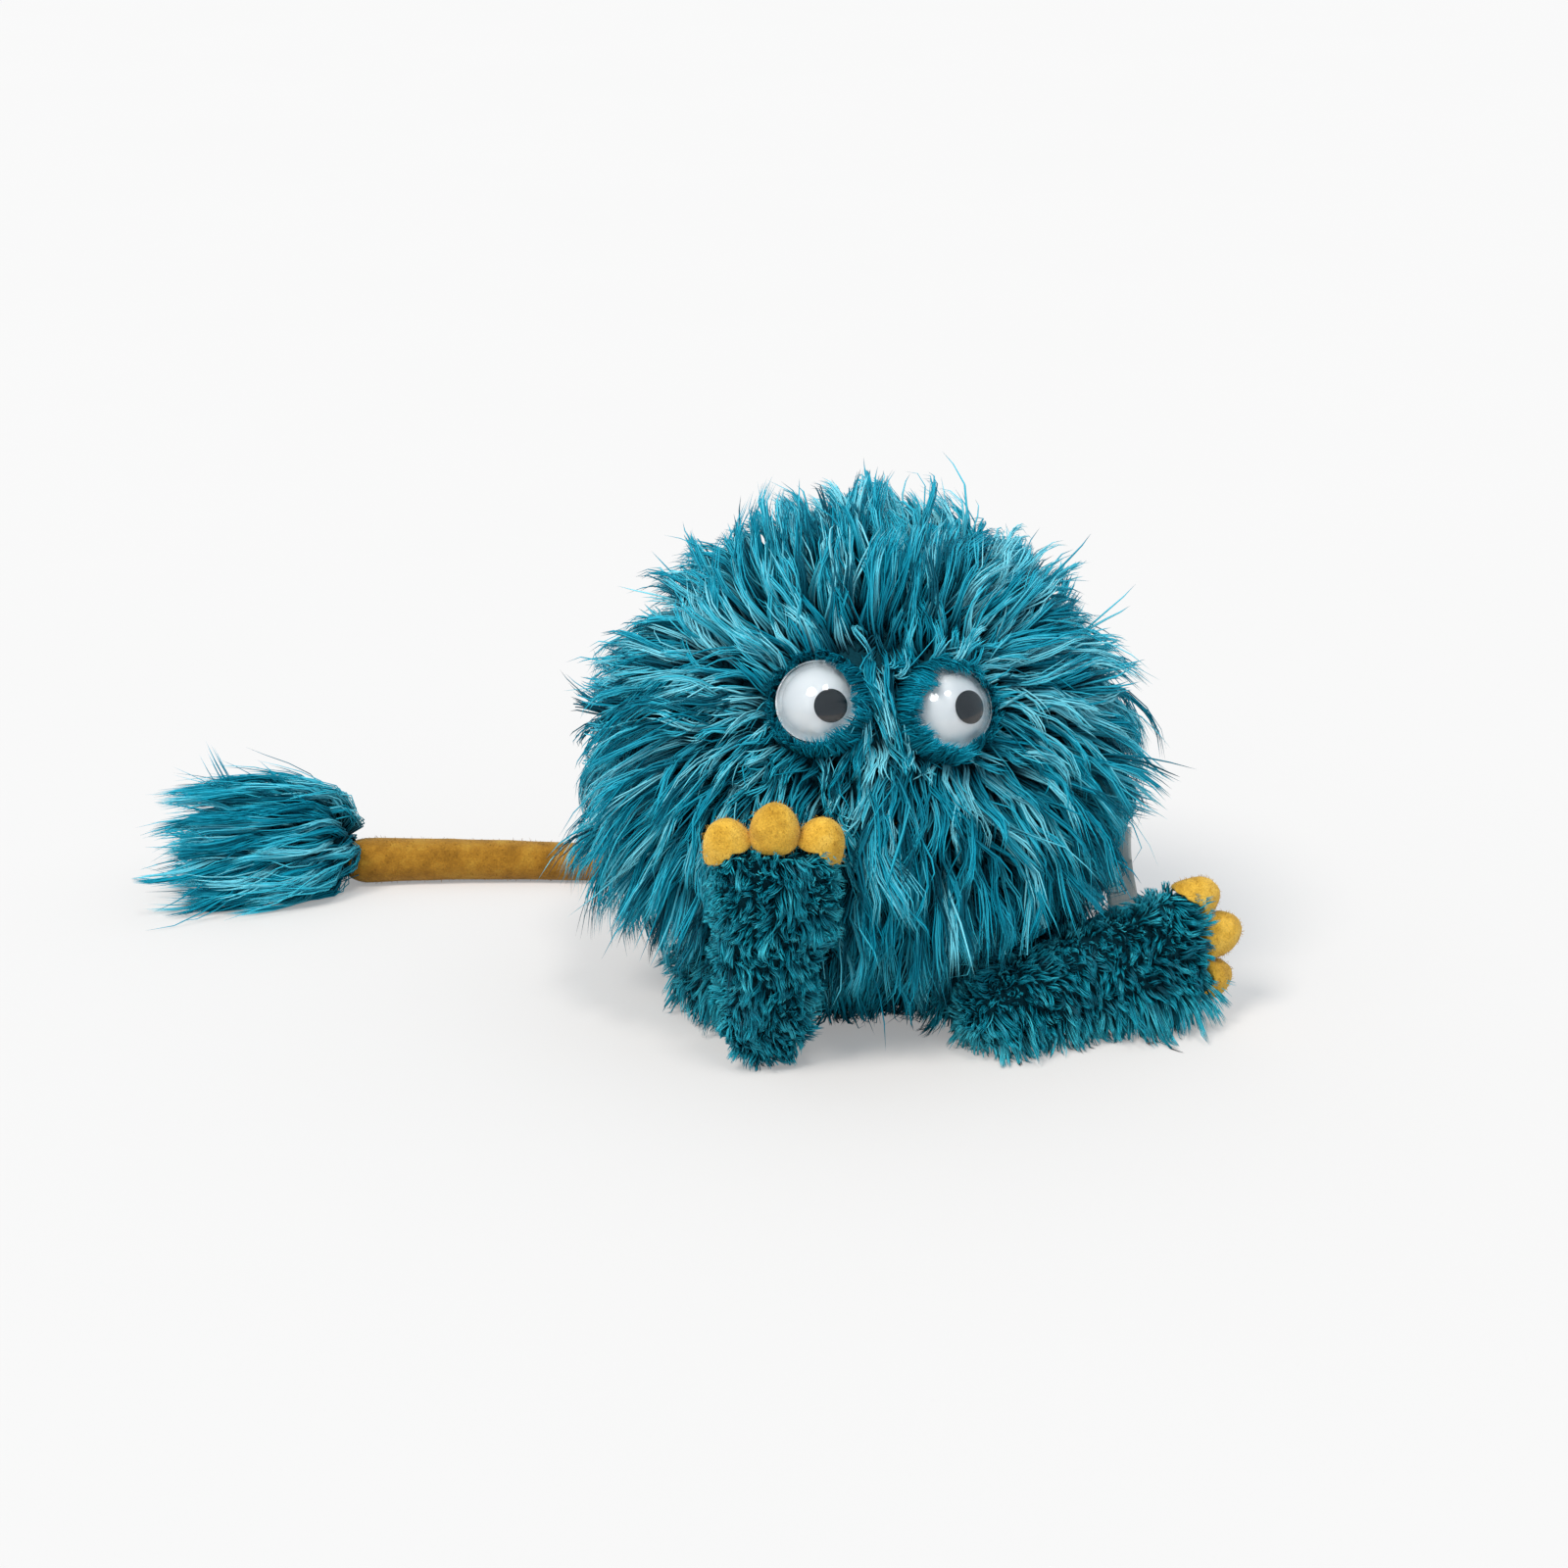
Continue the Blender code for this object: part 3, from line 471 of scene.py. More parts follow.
LEFT_HIP, LEFT_ANKLE = np.array((-62.6, -28.7, 19.5)) * MM, np.array((-47.0, -80.0, 19.6)) * MM
RIGHT_HIP, RIGHT_ANKLE = np.array((50.4, -32.6, 20.6)) * MM, np.array((46.5, -73.0, 20.0)) * MM


def foot_way(up):
    along = unit(up)
    sole = np.array((0.0, -1.0, 0.0))
    return along, unit(sole - along * float(sole @ along))


LEGS = {}
for side, hip, ankle, up, thick in (
    ("left", LEFT_HIP, LEFT_ANKLE, (0.02, -0.33, 1.0), 0.01825),
    ("right", RIGHT_HIP, RIGHT_ANKLE, (0.956, 0.27, 0.175), 0.017),
):
    along, sole = foot_way(up)
    end = ankle - sole * (0.0135 + thick + 0.0003 - 0.0021)
    LEGS[side] = {"hip": hip, "end": end, "ankle": ankle, "along": along, "sole": sole, "thick": thick}

TAG_TOP, TAG_LOW = np.array((0.1040, 0.0010, 0.0665)), np.array((0.1085, -0.0030, 0.0265))


CROWN_EASE, CROWN_TOP = 0.214, 0.2245
FLOOR_CLEAR = 0.0011
LABEL_SIDE = 0.0985


def held_in(values, start, end):
    """Eases values past a start so that they never pass an end."""
    room = end - start
    return np.where(values > start, start + room * np.tanh(np.maximum(values - start, 0.0) / room), values)


def press_aside(points, clear=0.0012):
    """Pile gives way to the eyes, thighs, feet, label and floor, and the crown's tips stay level."""
    for aim, lid in ((LEFT_EYE, 0.0006), (RIGHT_EYE, 0.0052)):
        out = (points - BALL_MID) @ aim
        away = points - BALL_MID - out[:, None] * aim
        dist = np.linalg.norm(away, axis=1)
        above = away[:, 2] / np.maximum(dist, 1e-6)
        dome = np.sqrt(np.maximum(DOME_R**2 - (out - DOME_MID) ** 2, 0.0)) + 0.0004
        over = EYE_R - 0.0021 - lid * smooth((above - 0.1) / 0.6)
        limit = np.where(out > 0.1004, np.maximum(np.minimum(dome, EYE_R), over), EYE_R + 0.0001)
        near = (dist < limit) & (out > 0.080)
        points[near] += (away / np.maximum(dist, 1e-6)[:, None] * (limit - dist)[:, None])[near]
    for leg in LEGS.values():
        line = leg["end"] - leg["hip"]
        t = np.clip(((points - leg["hip"]) @ line) / (line @ line), 0, 1)
        away = points - leg["hip"] - t[:, None] * line
        dist = np.linalg.norm(away, axis=1)
        near = dist < leg["thick"] + clear
        shift = away / np.maximum(dist, 1e-6)[:, None] * (leg["thick"] + clear - dist)[:, None]
        points[near] += shift[near]
        rel = points - leg["ankle"]
        up, over = rel @ leg["along"], rel @ leg["sole"]
        wide = np.linalg.norm(rel - up[:, None] * leg["along"] - over[:, None] * leg["sole"], axis=1)
        half = 0.020 + 0.008 * smooth(up / 0.075)
        inside = (up > -0.019) & (up < 0.104) & (wide < half) & (over > -0.016) & (over < 0.017)
        points[inside] -= ((over + 0.016)[:, None] * leg["sole"])[inside]
    low = smooth((0.085 - points[:, 2]) / 0.018) * smooth((0.055 - np.abs(points[:, 1] + 0.010)) / 0.020)
    side_edge = LABEL_SIDE + 0.045 * (1 - low)
    points[:, 0] = np.where(points[:, 0] > 0, held_in(points[:, 0], side_edge - 0.008, side_edge), points[:, 0])
    points[:, 2] = held_in(np.maximum(points[:, 2], FLOOR_CLEAR), CROWN_EASE, CROWN_TOP)
    return points


# ---- Strands ----

RINGS = 5


def strand_pattern(rings):
    """One strand: a three-sided rod drawn out in steps to a point. Its height counts the steps."""
    bm = bmesh.new()
    bmesh.ops.create_circle(bm, cap_ends=True, segments=3, radius=1.0)
    rim = bm.edges[:]
    for step in range(1, rings + 1):
        drawn = bmesh.ops.extrude_edge_only(bm, edges=rim)["geom"]
        new = {g for g in drawn if isinstance(g, bmesh.types.BMVert)}
        for v in new:
            v.co.z = float(step)
        rim = [e for e in bm.edges if e.verts[0] in new and e.verts[1] in new]
    bmesh.ops.pointmerge(bm, verts=list(new), merge_co=(0.0, 0.0, float(rings)))
    bmesh.ops.triangulate(bm, faces=bm.faces[:])
    bmesh.ops.recalc_face_normals(bm, faces=bm.faces[:])
    bm.verts.ensure_lookup_table()
    bm.verts.index_update()
    co = np.array([v.co[:] for v in bm.verts])
    faces = np.array([[v.index for v in f.verts] for f in bm.faces])
    bm.free()
    return co, faces


PATTERNS = {}


def strands(name, lines, width, tone, outward, material, body, taper=None, flat=0.55):
    """Copies the strand pattern along every line, and gives each its dye tone and root-to-tip map."""
    count, rings = lines.shape[0], lines.shape[1] - 1
    if rings not in PATTERNS:
        PATTERNS[rings] = strand_pattern(rings)
    co, faces = PATTERNS[rings]
    steps = co[:, 2].astype(int)
    if taper is None:
        taper = np.interp(np.arange(rings + 1) / rings, (0, 0.2, 0.55, 0.85, 1.0), (0.8, 1.0, 0.9, 0.5, 0.0))
    tangent = unit(np.gradient(lines, axis=1))
    across = unit(np.cross(np.broadcast_to(outward[:, None, :], lines.shape), tangent))
    through = np.cross(tangent, across)
    size = (width[:, None] * taper[None, :])[:, steps, None]
    section = across[:, steps] * co[:, 0][:, None] + flat * through[:, steps] * co[:, 1][:, None]
    points = lines[:, steps] + size * section
    points[..., 2] = np.maximum(points[..., 2], 0.0004)
    mesh = bpy.data.meshes.new(name)
    mesh.vertices.add(count * len(co))
    mesh.vertices.foreach_set("co", points.astype(np.float32).ravel())
    index = (faces[None] + (np.arange(count) * len(co))[:, None, None]).reshape(-1)
    mesh.loops.add(len(index))
    mesh.loops.foreach_set("vertex_index", index.astype(np.int32))
    mesh.polygons.add(len(index) // 3)
    mesh.polygons.foreach_set("loop_start", np.arange(0, len(index), 3, dtype=np.int32))
    mesh.polygons.foreach_set("use_smooth", np.ones(len(index) // 3, bool))
    mesh.update(calc_edges=True)
    turn = np.arctan2(co[:, 1], co[:, 0]) / (2 * math.pi) % 1.0
    high = np.where(steps == 0, 0.01 + 0.03 * turn, 0.02 + 0.97 * steps / rings)
    u = np.clip(tone, 0.01, 0.975)[:, None] + 0.018 * turn[None, :]
    v = np.broadcast_to(high[None, :], u.shape)
    uv = np.stack([u, v], axis=-1).reshape(-1, 2)[index]
    layer = mesh.uv_layers.new(name="OFBake")
    layer.data.foreach_set("uv", uv.astype(np.float32).ravel())
    mesh.materials.append(material)
    piece = bpy.data.objects.new(name, mesh)
    bpy.context.scene.collection.objects.link(piece)
    if body:
        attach(piece, body)
    return piece


def gathered(roots, spacing, rng):
    """Sorts strands into locks: each strand's lock, and each lock's first strand."""
    order = rng.permutation(len(roots))
    cell = {}
    for i in order:
        key = tuple(np.floor(roots[i] / spacing).astype(int))
        cell.setdefault(key, i)
    heads = np.array(sorted(cell.values()))
    tree = kdtree.KDTree(len(heads))
    for k, i in enumerate(heads):
        tree.insert(roots[i], k)
    tree.balance()
    return heads, np.array([tree.find(p)[1] for p in roots])


def along_lines(paths, share):
    """Points at these shares of each path."""
    steps = paths.shape[1] - 1
    at = np.clip(share * steps, 0, steps - 1e-6)
    i = at.astype(int)
    f = (at - i)[..., None]
    rows = np.arange(len(paths))[:, None]
    return paths[rows, i] * (1 - f) + paths[rows, i + 1] * f


# ---- Long pile on the ball ----


def brow_part(out):
    """The nearest spot of the short parting that runs across the brow, from which the pile is combed away."""
    along = np.clip(out[:, 0:1] * 0.0973, -0.027, 0.017)
    sag = 0.072 - 60.0 * (along + 0.005) ** 2
    return unit(np.concatenate([along, np.full_like(along, -0.065), sag], axis=1))


def from_part(out):
    """Degrees from the brow parting."""
    return np.degrees(np.arccos(np.clip((out * brow_part(out)).sum(axis=1), -1, 1)))


def combing(points, normal):
    """Which way the pile lies: away from the brow parting, and falling with its weight."""
    out = unit(points - BALL_MID)
    part = brow_part(out)
    away = unit(dot(out, part) * out - part)
    down = np.array((0.0, 0.0, -1.0)) - normal * -normal[:, 2:3]
    side = np.abs(out[:, 0:1])
    weight = 0.12 + 0.55 * smooth((0.35 - out[:, 2:3]) / 0.9) + 0.35 * smooth((side - 0.45) / 0.5)
    weight *= 1 - 0.8 * smooth((out[:, 2:3] - 0.55) / 0.3)
    lie = away + weight * down
    return unit(lie - normal * dot(lie, normal))


def long_locks(roots, seed, length, stand, spacing=0.0050, tuft=0.019):
    """Lines for every strand of a stretch of long pile, gathered into pointed, wavy locks."""
    rng = np.random.default_rng(seed)
    heads, lock = gathered(roots, spacing, rng)
    n = len(heads)
    start = roots[heads]
    long = length(start) * np.clip(rng.normal(1.0, 0.14, n), 0.65, 1.35)
    lean = rng.normal(0.0, 0.20, n)
    rise = stand(start) * np.clip(rng.normal(1.0, 0.35, n), 0.3, 1.9)
    proud = rng.random(n) < 0.09
    rise, long = np.where(proud, rise * 1.8, rise), np.where(proud, long * 1.12, long)
    phase, bend = rng.uniform(0, 2 * math.pi, n), rng.normal(0.0, 0.30, n)
    front = smooth((unit(start - BALL_MID) @ np.array((0.0, -0.96, -0.28)) - 0.55) / 0.35)
    wave = rng.uniform(0.12, 0.45, n) * (1 + 0.9 * front)
    steps = 12
    path = np.empty((n, steps + 1, 3))
    p = start.copy()
    path[:, 0] = p
    for k in range(steps):
        s = (k + 0.5) / steps
        normal, level = surface_out(p)
        lie = combing(p, normal)
        across = np.cross(normal, lie)
        up = (rise * (1 - 0.62 * s) * (1.25 - 0.5 * s))[:, None]
        swing = (lean + bend * s + wave * np.sin(phase + s * 7.5))[:, None]
        d = unit(lie * (0.45 + 0.75 * s) + normal * up + across * swing + np.array((0, 0, -0.20 * s)))
        p = p + d * (long / steps)[:, None]
        normal, level = surface_out(p)
        p = p + normal * np.maximum(0.0015 + 0.003 * s - (level - 1) * 0.09, 0.0)
        p = press_aside(p)
        path[:, k + 1] = p
    leads, group = gathered(start, tuft, rng)
    reach = np.linspace(0, 1, steps + 1)[None, :, None]
    moved = path - start[:, None, :]
    moved = mix(moved, moved[leads][group], 0.62 * reach)
    path = start[:, None, :] + moved - (start - start[leads][group])[:, None, :] * 0.54 * smooth(reach)
    share = np.linspace(0, 1, RINGS + 1)[None, :] * np.clip(rng.normal(0.92, 0.10, len(roots)), 0.6, 1.0)[:, None]
    lines = along_lines(path[lock], share)
    gather = smooth(np.linspace(0, 1, RINGS + 1) / 0.9) * 0.93
    lines += (roots - start[lock])[:, None, :] * (1 - gather)[None, :, None]
    loose = rng.random(len(roots)) < 0.07
    stray = rng.normal(0.0, 1.0, (len(roots), 3)) * np.where(loose, 0.0060, 0.0013)[:, None]
    lines += stray[:, None, :] * (np.linspace(0, 1, RINGS + 1) ** 1.5)[None, :, None]
    shape = lines.shape
    lines[:, 1:] = press_aside(lines[:, 1:].reshape(-1, 3).copy(), 0.0006).reshape(shape[0], RINGS, 3)
    return lines, lock, n, rng


# Degrees round the ball as seen from the front, and how far the pile stands there against its own height.
PRESSED = (
    (-90, 0.7), (-30, 0.6), (-10, 0.55), (0, 0.6), (10, 0.26), (20, 0.45), (30, 0.24),
    (40, 0.22), (50, 0.36), (60, 0.34), (70, 0.2), (80, 0.52), (90, 0.54), (100, 0.38),
    (110, 0.28), (120, 0.5), (130, 0.36), (140, 0.38), (150, 0.58), (160, 0.95), (170, 1.0),
    (180, 1.3), (190, 1.35), (200, 0.6), (210, 0.36), (270, 0.6),
)


def flatness(out):
    """How far the pile has been pressed down, going round the ball as seen from the front."""
    turn = (np.degrees(np.arctan2(out[:, 2], out[:, 0])) + 90) % 360 - 90
    return np.interp(turn, *zip(*PRESSED))


def ball_length(p):
    out = unit(p - BALL_MID)
    away = from_part(out)
    long = mix(0.024, 0.050, smooth((away - 4) / 30))
    long = mix(long, 0.052, smooth((np.abs(out[:, 0]) - 0.55) / 0.35))
    long = mix(long, 0.042, smooth((out[:, 2] - 0.45) / 0.3))
    for aim in (LEFT_EYE, RIGHT_EYE):
        near = np.degrees(np.arccos(np.clip(out @ aim, -1, 1)))
        long = mix(0.021, long, smooth((near - 10) / 14))
    behind = (hinge_angle(p) > 126) & (hinge_angle(p) < 200) & (np.abs(p[:, 0]) < 0.055)
    long = np.where(behind, np.minimum(long, 0.034), long)
    return np.where(p[:, 2] < 0.028, np.minimum(long, 0.034), long)


def ball_stand(p):
    out = unit(p - BALL_MID)
    away = from_part(out)
    rise = mix(0.46, 0.95, smooth((away - 6) / 50))
    rise = mix(rise, 1.15, smooth((out[:, 2] - 0.6) / 0.35))
    rise = mix(rise, 0.62, smooth((-out[:, 2] - 0.15) / 0.5))
    for aim in (LEFT_EYE, RIGHT_EYE):
        near = np.degrees(np.arccos(np.clip(out @ aim, -1, 1)))
        rise = mix(0.52, rise, smooth((near - 11) / 12))
    between = (np.abs(p[:, 0] + 0.003) < 0.014) & (p[:, 2] < 0.166) & (p[:, 2] > 0.120) & (p[:, 1] < 0)
    rise = np.where(between, 0.34, rise)
    edge = smooth((away - 30) / 30)
    return rise * mix(1.0, flatness(out), edge)


# Each strand's dye tone, with painted shade along the brow parting.
def dye(p, lock, locks, rng, base, spread=0.25):
    tone = base + rng.normal(0.0, spread, locks)[lock] + rng.normal(0.0, 0.09, len(p))
    clouds = np.array([noise.noise(Vector(q) * 26.0) for q in p])
    # Painted shade: the strands near the brow parting are darkened.
    painted_parting_shade = 0.16 * smooth(1 - from_part(unit(p - BALL_MID)) / 9)
    return np.clip(tone + 0.14 * clouds - painted_parting_shade, 0.02, 0.92)


LONG_COUNT = 43000
all_roots = root_point(unit(np.random.default_rng(20).normal(size=(LONG_COUNT, 3))))
angles = hinge_angle(all_roots)
outs = unit(all_roots - BALL_MID)
under_eye = np.zeros(len(all_roots), bool)
for aim in (LEFT_EYE, RIGHT_EYE):
    reach = np.linalg.norm((all_roots - BALL_MID) - ((all_roots - BALL_MID) @ aim)[:, None] * aim, axis=1)
    under_eye |= (reach < EYE_R - 0.001) & (outs @ aim > 0)
in_opening = (
    (angles > OPENING_FROM - 0.5) & (angles < OPENING_TO + 0.5) & (np.abs(all_roots[:, 0]) < OPENING_HALF + 0.0005)
)
on_seat = (all_roots[:, 0] / 0.060) ** 2 + ((all_roots[:, 1] - 0.014) / 0.046) ** 2 < 1
on_seat &= all_roots[:, 2] < 0.03
free = ~(under_eye | in_opening | on_seat)

# The last number of each stretch is its base tone; the stretches low on the ball are darker than the head, which is
# painted shade.
STRETCHES = (
    ("head_pile", HEAD, "head", ("left_side", "left_brow", "right_brow", "right_side"), 0.60),
    ("neck_pile", NECK, None, ("left", "right"), 0.50),
    ("body_pile", BODY, "body", ("left", "middle", "right"), 0.40),
    ("throat_pile", THROAT, None, ("all",), 0.40),
    ("chin_pile", CHIN, "lower_jaw", ("all",), 0.47),
)
seed = 100
for title, (low, high), body, parts, base in STRETCHES:
    chosen = all_roots[free & (angles >= low + 0.2) & (angles < high - 0.2)]
    chosen = chosen[np.argsort(chosen[:, 0])]
    for part, roots in zip(parts, np.array_split(chosen, len(parts))):
        seed += 1
        lines, lock, locks, rng = long_locks(roots, seed, ball_length, ball_stand)
        out = unit(roots - BALL_MID)
        # Painted light: the tone is raised towards the top of the ball, and lowered towards the bottom as painted
        # shade.
        tone = dye(roots, lock, locks, rng, base) + 0.10 * smooth(out[:, 2] / 0.8) - 0.06 * smooth(-out[:, 2] / 0.6)
        width = 0.00047 * np.clip(rng.normal(1.0, 0.22, len(roots)), 0.5, 1.6)
        name = title if part == "all" else f"{title}_{part}"
        piece = strands(name, lines, width, tone, surface_out(roots)[0], long_pile, body)
        if title == "neck_pile":
            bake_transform(piece)
        if title == "throat_pile":
            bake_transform(piece)


def eye_ring(side, aim, seed, lid):
    """Short dark pile round an eye: it stands close to the dome and its tips lie just over the rim."""
    rng = np.random.default_rng(seed)
    count = 1500
    flat = unit(np.cross(aim, (0.0, 0.0, 1.0)))
    up = np.cross(flat, aim)
    turn = rng.uniform(0, 2 * math.pi, count)
    away = flat * np.cos(turn)[:, None] + up * np.sin(turn)[:, None]
    start = 0.0171 + 0.0034 * rng.random(count) ** 1.4
    roots = root_point(unit(aim * 0.0885 + away * start[:, None]))
    lines = np.empty((count, RINGS + 1, 3))
    lines[:, 0] = roots
    normal = surface_out(roots)[0]
    lie = combing(roots, normal)
    over = 0.0010 + 0.0014 * rng.random(count) + lid * smooth((np.sin(turn) - 0.2) / 0.6) * rng.uniform(0.5, 1.0, count)
    first = (roots - BALL_MID) @ aim
    clump = np.array([noise.noise_vector(Vector(q) * 190.0)[:] for q in roots])
    top = np.clip(rng.normal(0.1030, 0.0016, count), 0.0995, 0.1065) + 0.6 * over
    wander = rng.normal(0, 0.0013, (count, 3)) + clump * 0.0048
    for k in range(1, RINGS + 1):
        s = k / RINGS
        out = mix(first, top, s**0.85)
        radius = mix(start, EYE_R - over, s**2.2)
        p = BALL_MID + aim * out[:, None] + away * radius[:, None] + (lie * 0.0028 + wander) * s**1.6
        lines[:, k] = press_aside(p, 0.0006)
    tone = np.clip(0.36 + 0.30 * clump[:, 0] + rng.normal(0.0, 0.10, count), 0.03, 0.9)
    width = np.full(count, 0.00042)
    strands(f"head_pile_{side}_eye_ring", lines, width, tone, normal, long_pile, "head")


eye_ring("left", LEFT_EYE, 301, 0.0006)
eye_ring("right", RIGHT_EYE, 302, 0.0052)

# ---- Curly pile on the feet, thighs and sleeve hem ----


def sample(points, faces, normals, count, rng):
    """Even points over some faces, with their normals."""
    a, b, c = (points[faces[:, k]] for k in range(3))
    area = np.linalg.norm(np.cross(b - a, c - a), axis=1)
    pick = rng.choice(len(faces), count, p=area / area.sum())
    r1, r2 = np.sqrt(rng.random(count))[:, None], rng.random(count)[:, None]
    return a[pick] * (1 - r1) + b[pick] * r1 * (1 - r2) + c[pick] * r1 * r2, normals[pick]


def curls(name, roots, normal, seed, tall, curl, fall, base, body, tone_by=None, spacing=0.0030, width=0.00035):
    """Short pile in little twisted curls that lean one way."""
    rng = np.random.default_rng(seed)
    heads, lock = gathered(roots, spacing, rng)
    n = len(heads)
    steps = 4
    phase, turns = rng.uniform(0, 2 * math.pi, n), rng.choice((-1, 1), n) * rng.uniform(0.45, 0.9, n)
    flow = np.array([noise.noise_vector(Vector(q) * 95.0)[:] for q in roots[heads]])
    astray = unit(rng.normal(0, 1, (n, 3))) * rng.uniform(0.05, 0.22, n)[:, None]
    lean = flow * 0.85 + astray + (fall[heads] if np.ndim(fall) > 1 else np.array(fall))
    high = (tall[heads] if np.ndim(tall) else tall) * np.clip(rng.normal(1.0, 0.16, n), 0.6, 1.4)
    side = unit(np.cross(normal, np.array((0.31, 0.52, 0.79))))
    other = np.cross(normal, side)
    s = np.linspace(0, 1, steps + 1)[None, :, None]
    own = phase[lock] + rng.normal(0, 0.35, len(roots))
    twist = own[:, None, None] + turns[lock][:, None, None] * 2 * math.pi * s
    ring = curl * (0.25 + 0.75 * s)
    rise = high[lock][:, None, None] * (s - 0.22 * s**2)
    lines = roots[:, None, :] + normal[:, None, :] * rise
    lines = lines + ring * (side[:, None, :] * (np.cos(twist) - np.cos(own)[:, None, None]))
    lines = lines + ring * (other[:, None, :] * (np.sin(twist) - np.sin(own)[:, None, None]))
    lines = lines + lean[lock][:, None, :] * high[lock][:, None, None] * s**1.4
    lines = lines + (roots[heads][lock] - roots)[:, None, :] * (0.6 * smooth(s))
    tone = base + rng.normal(0, 0.15, n)[lock] + rng.normal(0, 0.08, len(roots))
    if tone_by is not None:
        tone = tone + tone_by
    size = width * np.clip(rng.normal(1.0, 0.2, len(roots)), 0.6, 1.5)
    return strands(name, lines, size, tone, normal, curly_pile, body, flat=0.7)


def arrays(bm):
    bmesh.ops.triangulate(bm, faces=bm.faces[:])
    bm.verts.index_update()
    bm.normal_update()
    points = points_of(bm)
    faces = np.array([[v.index for v in f.verts] for f in bm.faces])
    normals = np.array([f.normal[:] for f in bm.faces])
    return points, faces, normals


def faces_out(leg, points, normals):
    """Which spots of a foot's shell face away from the foot's middle line."""
    up = np.clip((points - leg["ankle"]) @ leg["along"], 0.0, 0.074)
    core = leg["ankle"] + up[:, None] * leg["along"]
    return ((points - core) * normals).sum(axis=1) > 0


def thinner(bm, by, leg=None):
    """Draws a shell's outside in by this much, which leaves room for its pile. A foot's inner wall stays."""
    bm.normal_update()
    points, normals = points_of(bm), np.array([v.normal[:] for v in bm.verts])
    drawn = faces_out(leg, points, normals) if leg else np.ones(len(points), bool)
    lay(bm, points - normals * by * drawn[:, None])


for side, leg in LEGS.items():
    foot = side + "_foot_shell"
    bm = copy_of(foot)
    points, faces, normals = arrays(bm)
    outer = faces_out(leg, points[faces].mean(axis=1), normals)
    rng = np.random.default_rng(31 if side == "left" else 32)
    roots, normal = sample(points, faces[outer], normals[outer], 8800, rng)
    soles = normal @ leg["sole"]
    toes = (roots - leg["ankle"]) @ leg["along"]
    shade = -0.14 * smooth((soles - 0.3) / 0.5) + 0.14 * smooth((0.35 - np.abs(soles)) / 0.4)
    shade += 0.12 * np.array([noise.noise(Vector(q) * 45.0) for q in roots])
    tall = np.full(len(roots), 0.0072)
    fall = np.tile((0.02, -0.04, -0.16), (len(roots), 1))
    if side == "right":
        low = smooth((0.10 - normal[:, 2]) / 0.6) * smooth((0.030 - roots[:, 2]) / 0.018)
        low = low * smooth((0.094 - toes) / 0.010)
        tall += low * (0.002 + 0.0055 * smooth(toes / 0.075))
        fall = np.tile((0.02, -0.06, -0.20), (len(roots), 1)) + low[:, None] * np.array((0.14, -0.10, -0.30))
        shade += 0.30 * low
    tone, seed = 0.80 if side == "left" else 0.72, 40 + len(side)
    sunk = roots - normal * 0.0040
    curls(side + "_foot_pile", sunk, normal, seed, tall, 0.0008, fall, tone, side + "_foot", shade)
    thinner(bm, 0.0038, leg)
    backing = keep(bm, side + "_foot_backing", pile_backing, side + "_foot")
    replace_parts(backing, foot)
    thigh = side + "_thigh"
    bm = copy_of(thigh)
    points, faces, normals = arrays(bm)
    roots, normal = sample(points, faces, normals, 2600, rng)
    sunk, fall, seed = roots - normal * 0.0030, (0.0, -0.1, -0.50), 60 + len(side)
    curls(side + "_thigh_pile", sunk, normal, seed, 0.0110, 0.0010, fall, 0.70, side + "_leg", spacing=0.0046)
    thinner(bm, 0.0028)
    backing = keep(bm, side + "_thigh_backing", pile_backing, side + "_leg")
    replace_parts(backing, thigh)

# ---- Felt toes ----


def fuzz(name, felt, count, seed, material, body, tall=0.0011):
    """Loose wool fibres that stand off a felt piece."""
    bm = bmesh.new()
    bm.from_mesh(felt.data)
    points, faces, normals = arrays(bm)
    bm.free()
    rng = np.random.default_rng(seed)
    roots, normal = sample(points, faces, normals, count, rng)
    lean = unit(rng.normal(0, 1, (count, 3)))
    s = np.linspace(0, 1, 4)[None, :, None]
    bow = unit(np.cross(lean, normal))
    high = (tall * rng.uniform(0.5, 1.3, count))[:, None, None]
    lines = roots[:, None, :] + (normal * 0.75)[:, None, :] * s * high + lean[:, None, :] * s * 0.8 * high
    lines = lines + bow[:, None, :] * 0.4 * high * s**2
    lines[..., 2] = np.maximum(lines[..., 2], 0.0008)
    size = np.full(count, 0.00009)
    tone = rng.uniform(0.02, 0.97, count)
    return strands(name, lines, size, tone, normal, material, body, flat=0.9)


# Painted shade at each fibre's root and a painted highlight at its tip.
FIBRE_ROOT_SHADE_TIP_HIGHLIGHT = ((0.8, 0.8, 0.8), (1.1, 1.1, 1.1))
OCHRE_TONES = [(0.38, 0.18, 0.014), (0.62, 0.34, 0.034), (0.78, 0.50, 0.090)]
MUSTARD_TONES = [(0.20, 0.085, 0.007), (0.36, 0.17, 0.016), (0.48, 0.26, 0.035)]
fibre_ochre = pile_finish("ochre_wool_fibres", OCHRE_TONES, *FIBRE_ROOT_SHADE_TIP_HIGHLIGHT)
fibre_mustard = pile_finish("mustard_wool_fibres", MUSTARD_TONES, *FIBRE_ROOT_SHADE_TIP_HIGHLIGHT)


def smoothed(bm, rounds, relief, size, seed):
    """Subdivides and rounds a solid, then gives it the soft lumps of felt."""
    for _ in range(rounds):
        bmesh.ops.subdivide_edges(bm, edges=bm.edges[:], cuts=1, use_grid_fill=True, smooth=0.6)
        bmesh.ops.smooth_vert(bm, verts=bm.verts[:], factor=0.4, use_axis_x=True, use_axis_y=True, use_axis_z=True)
    bm.normal_update()
    shift = Vector((seed * 1.7, seed * 0.9, seed * 2.3))
    for v in bm.verts:
        lump = noise.noise(v.co * size + shift) + 0.5 * noise.noise(v.co * size * 2.3 + shift)
        v.co += v.normal * lump * relief
        v.co.z = max(v.co.z, 0.0003)


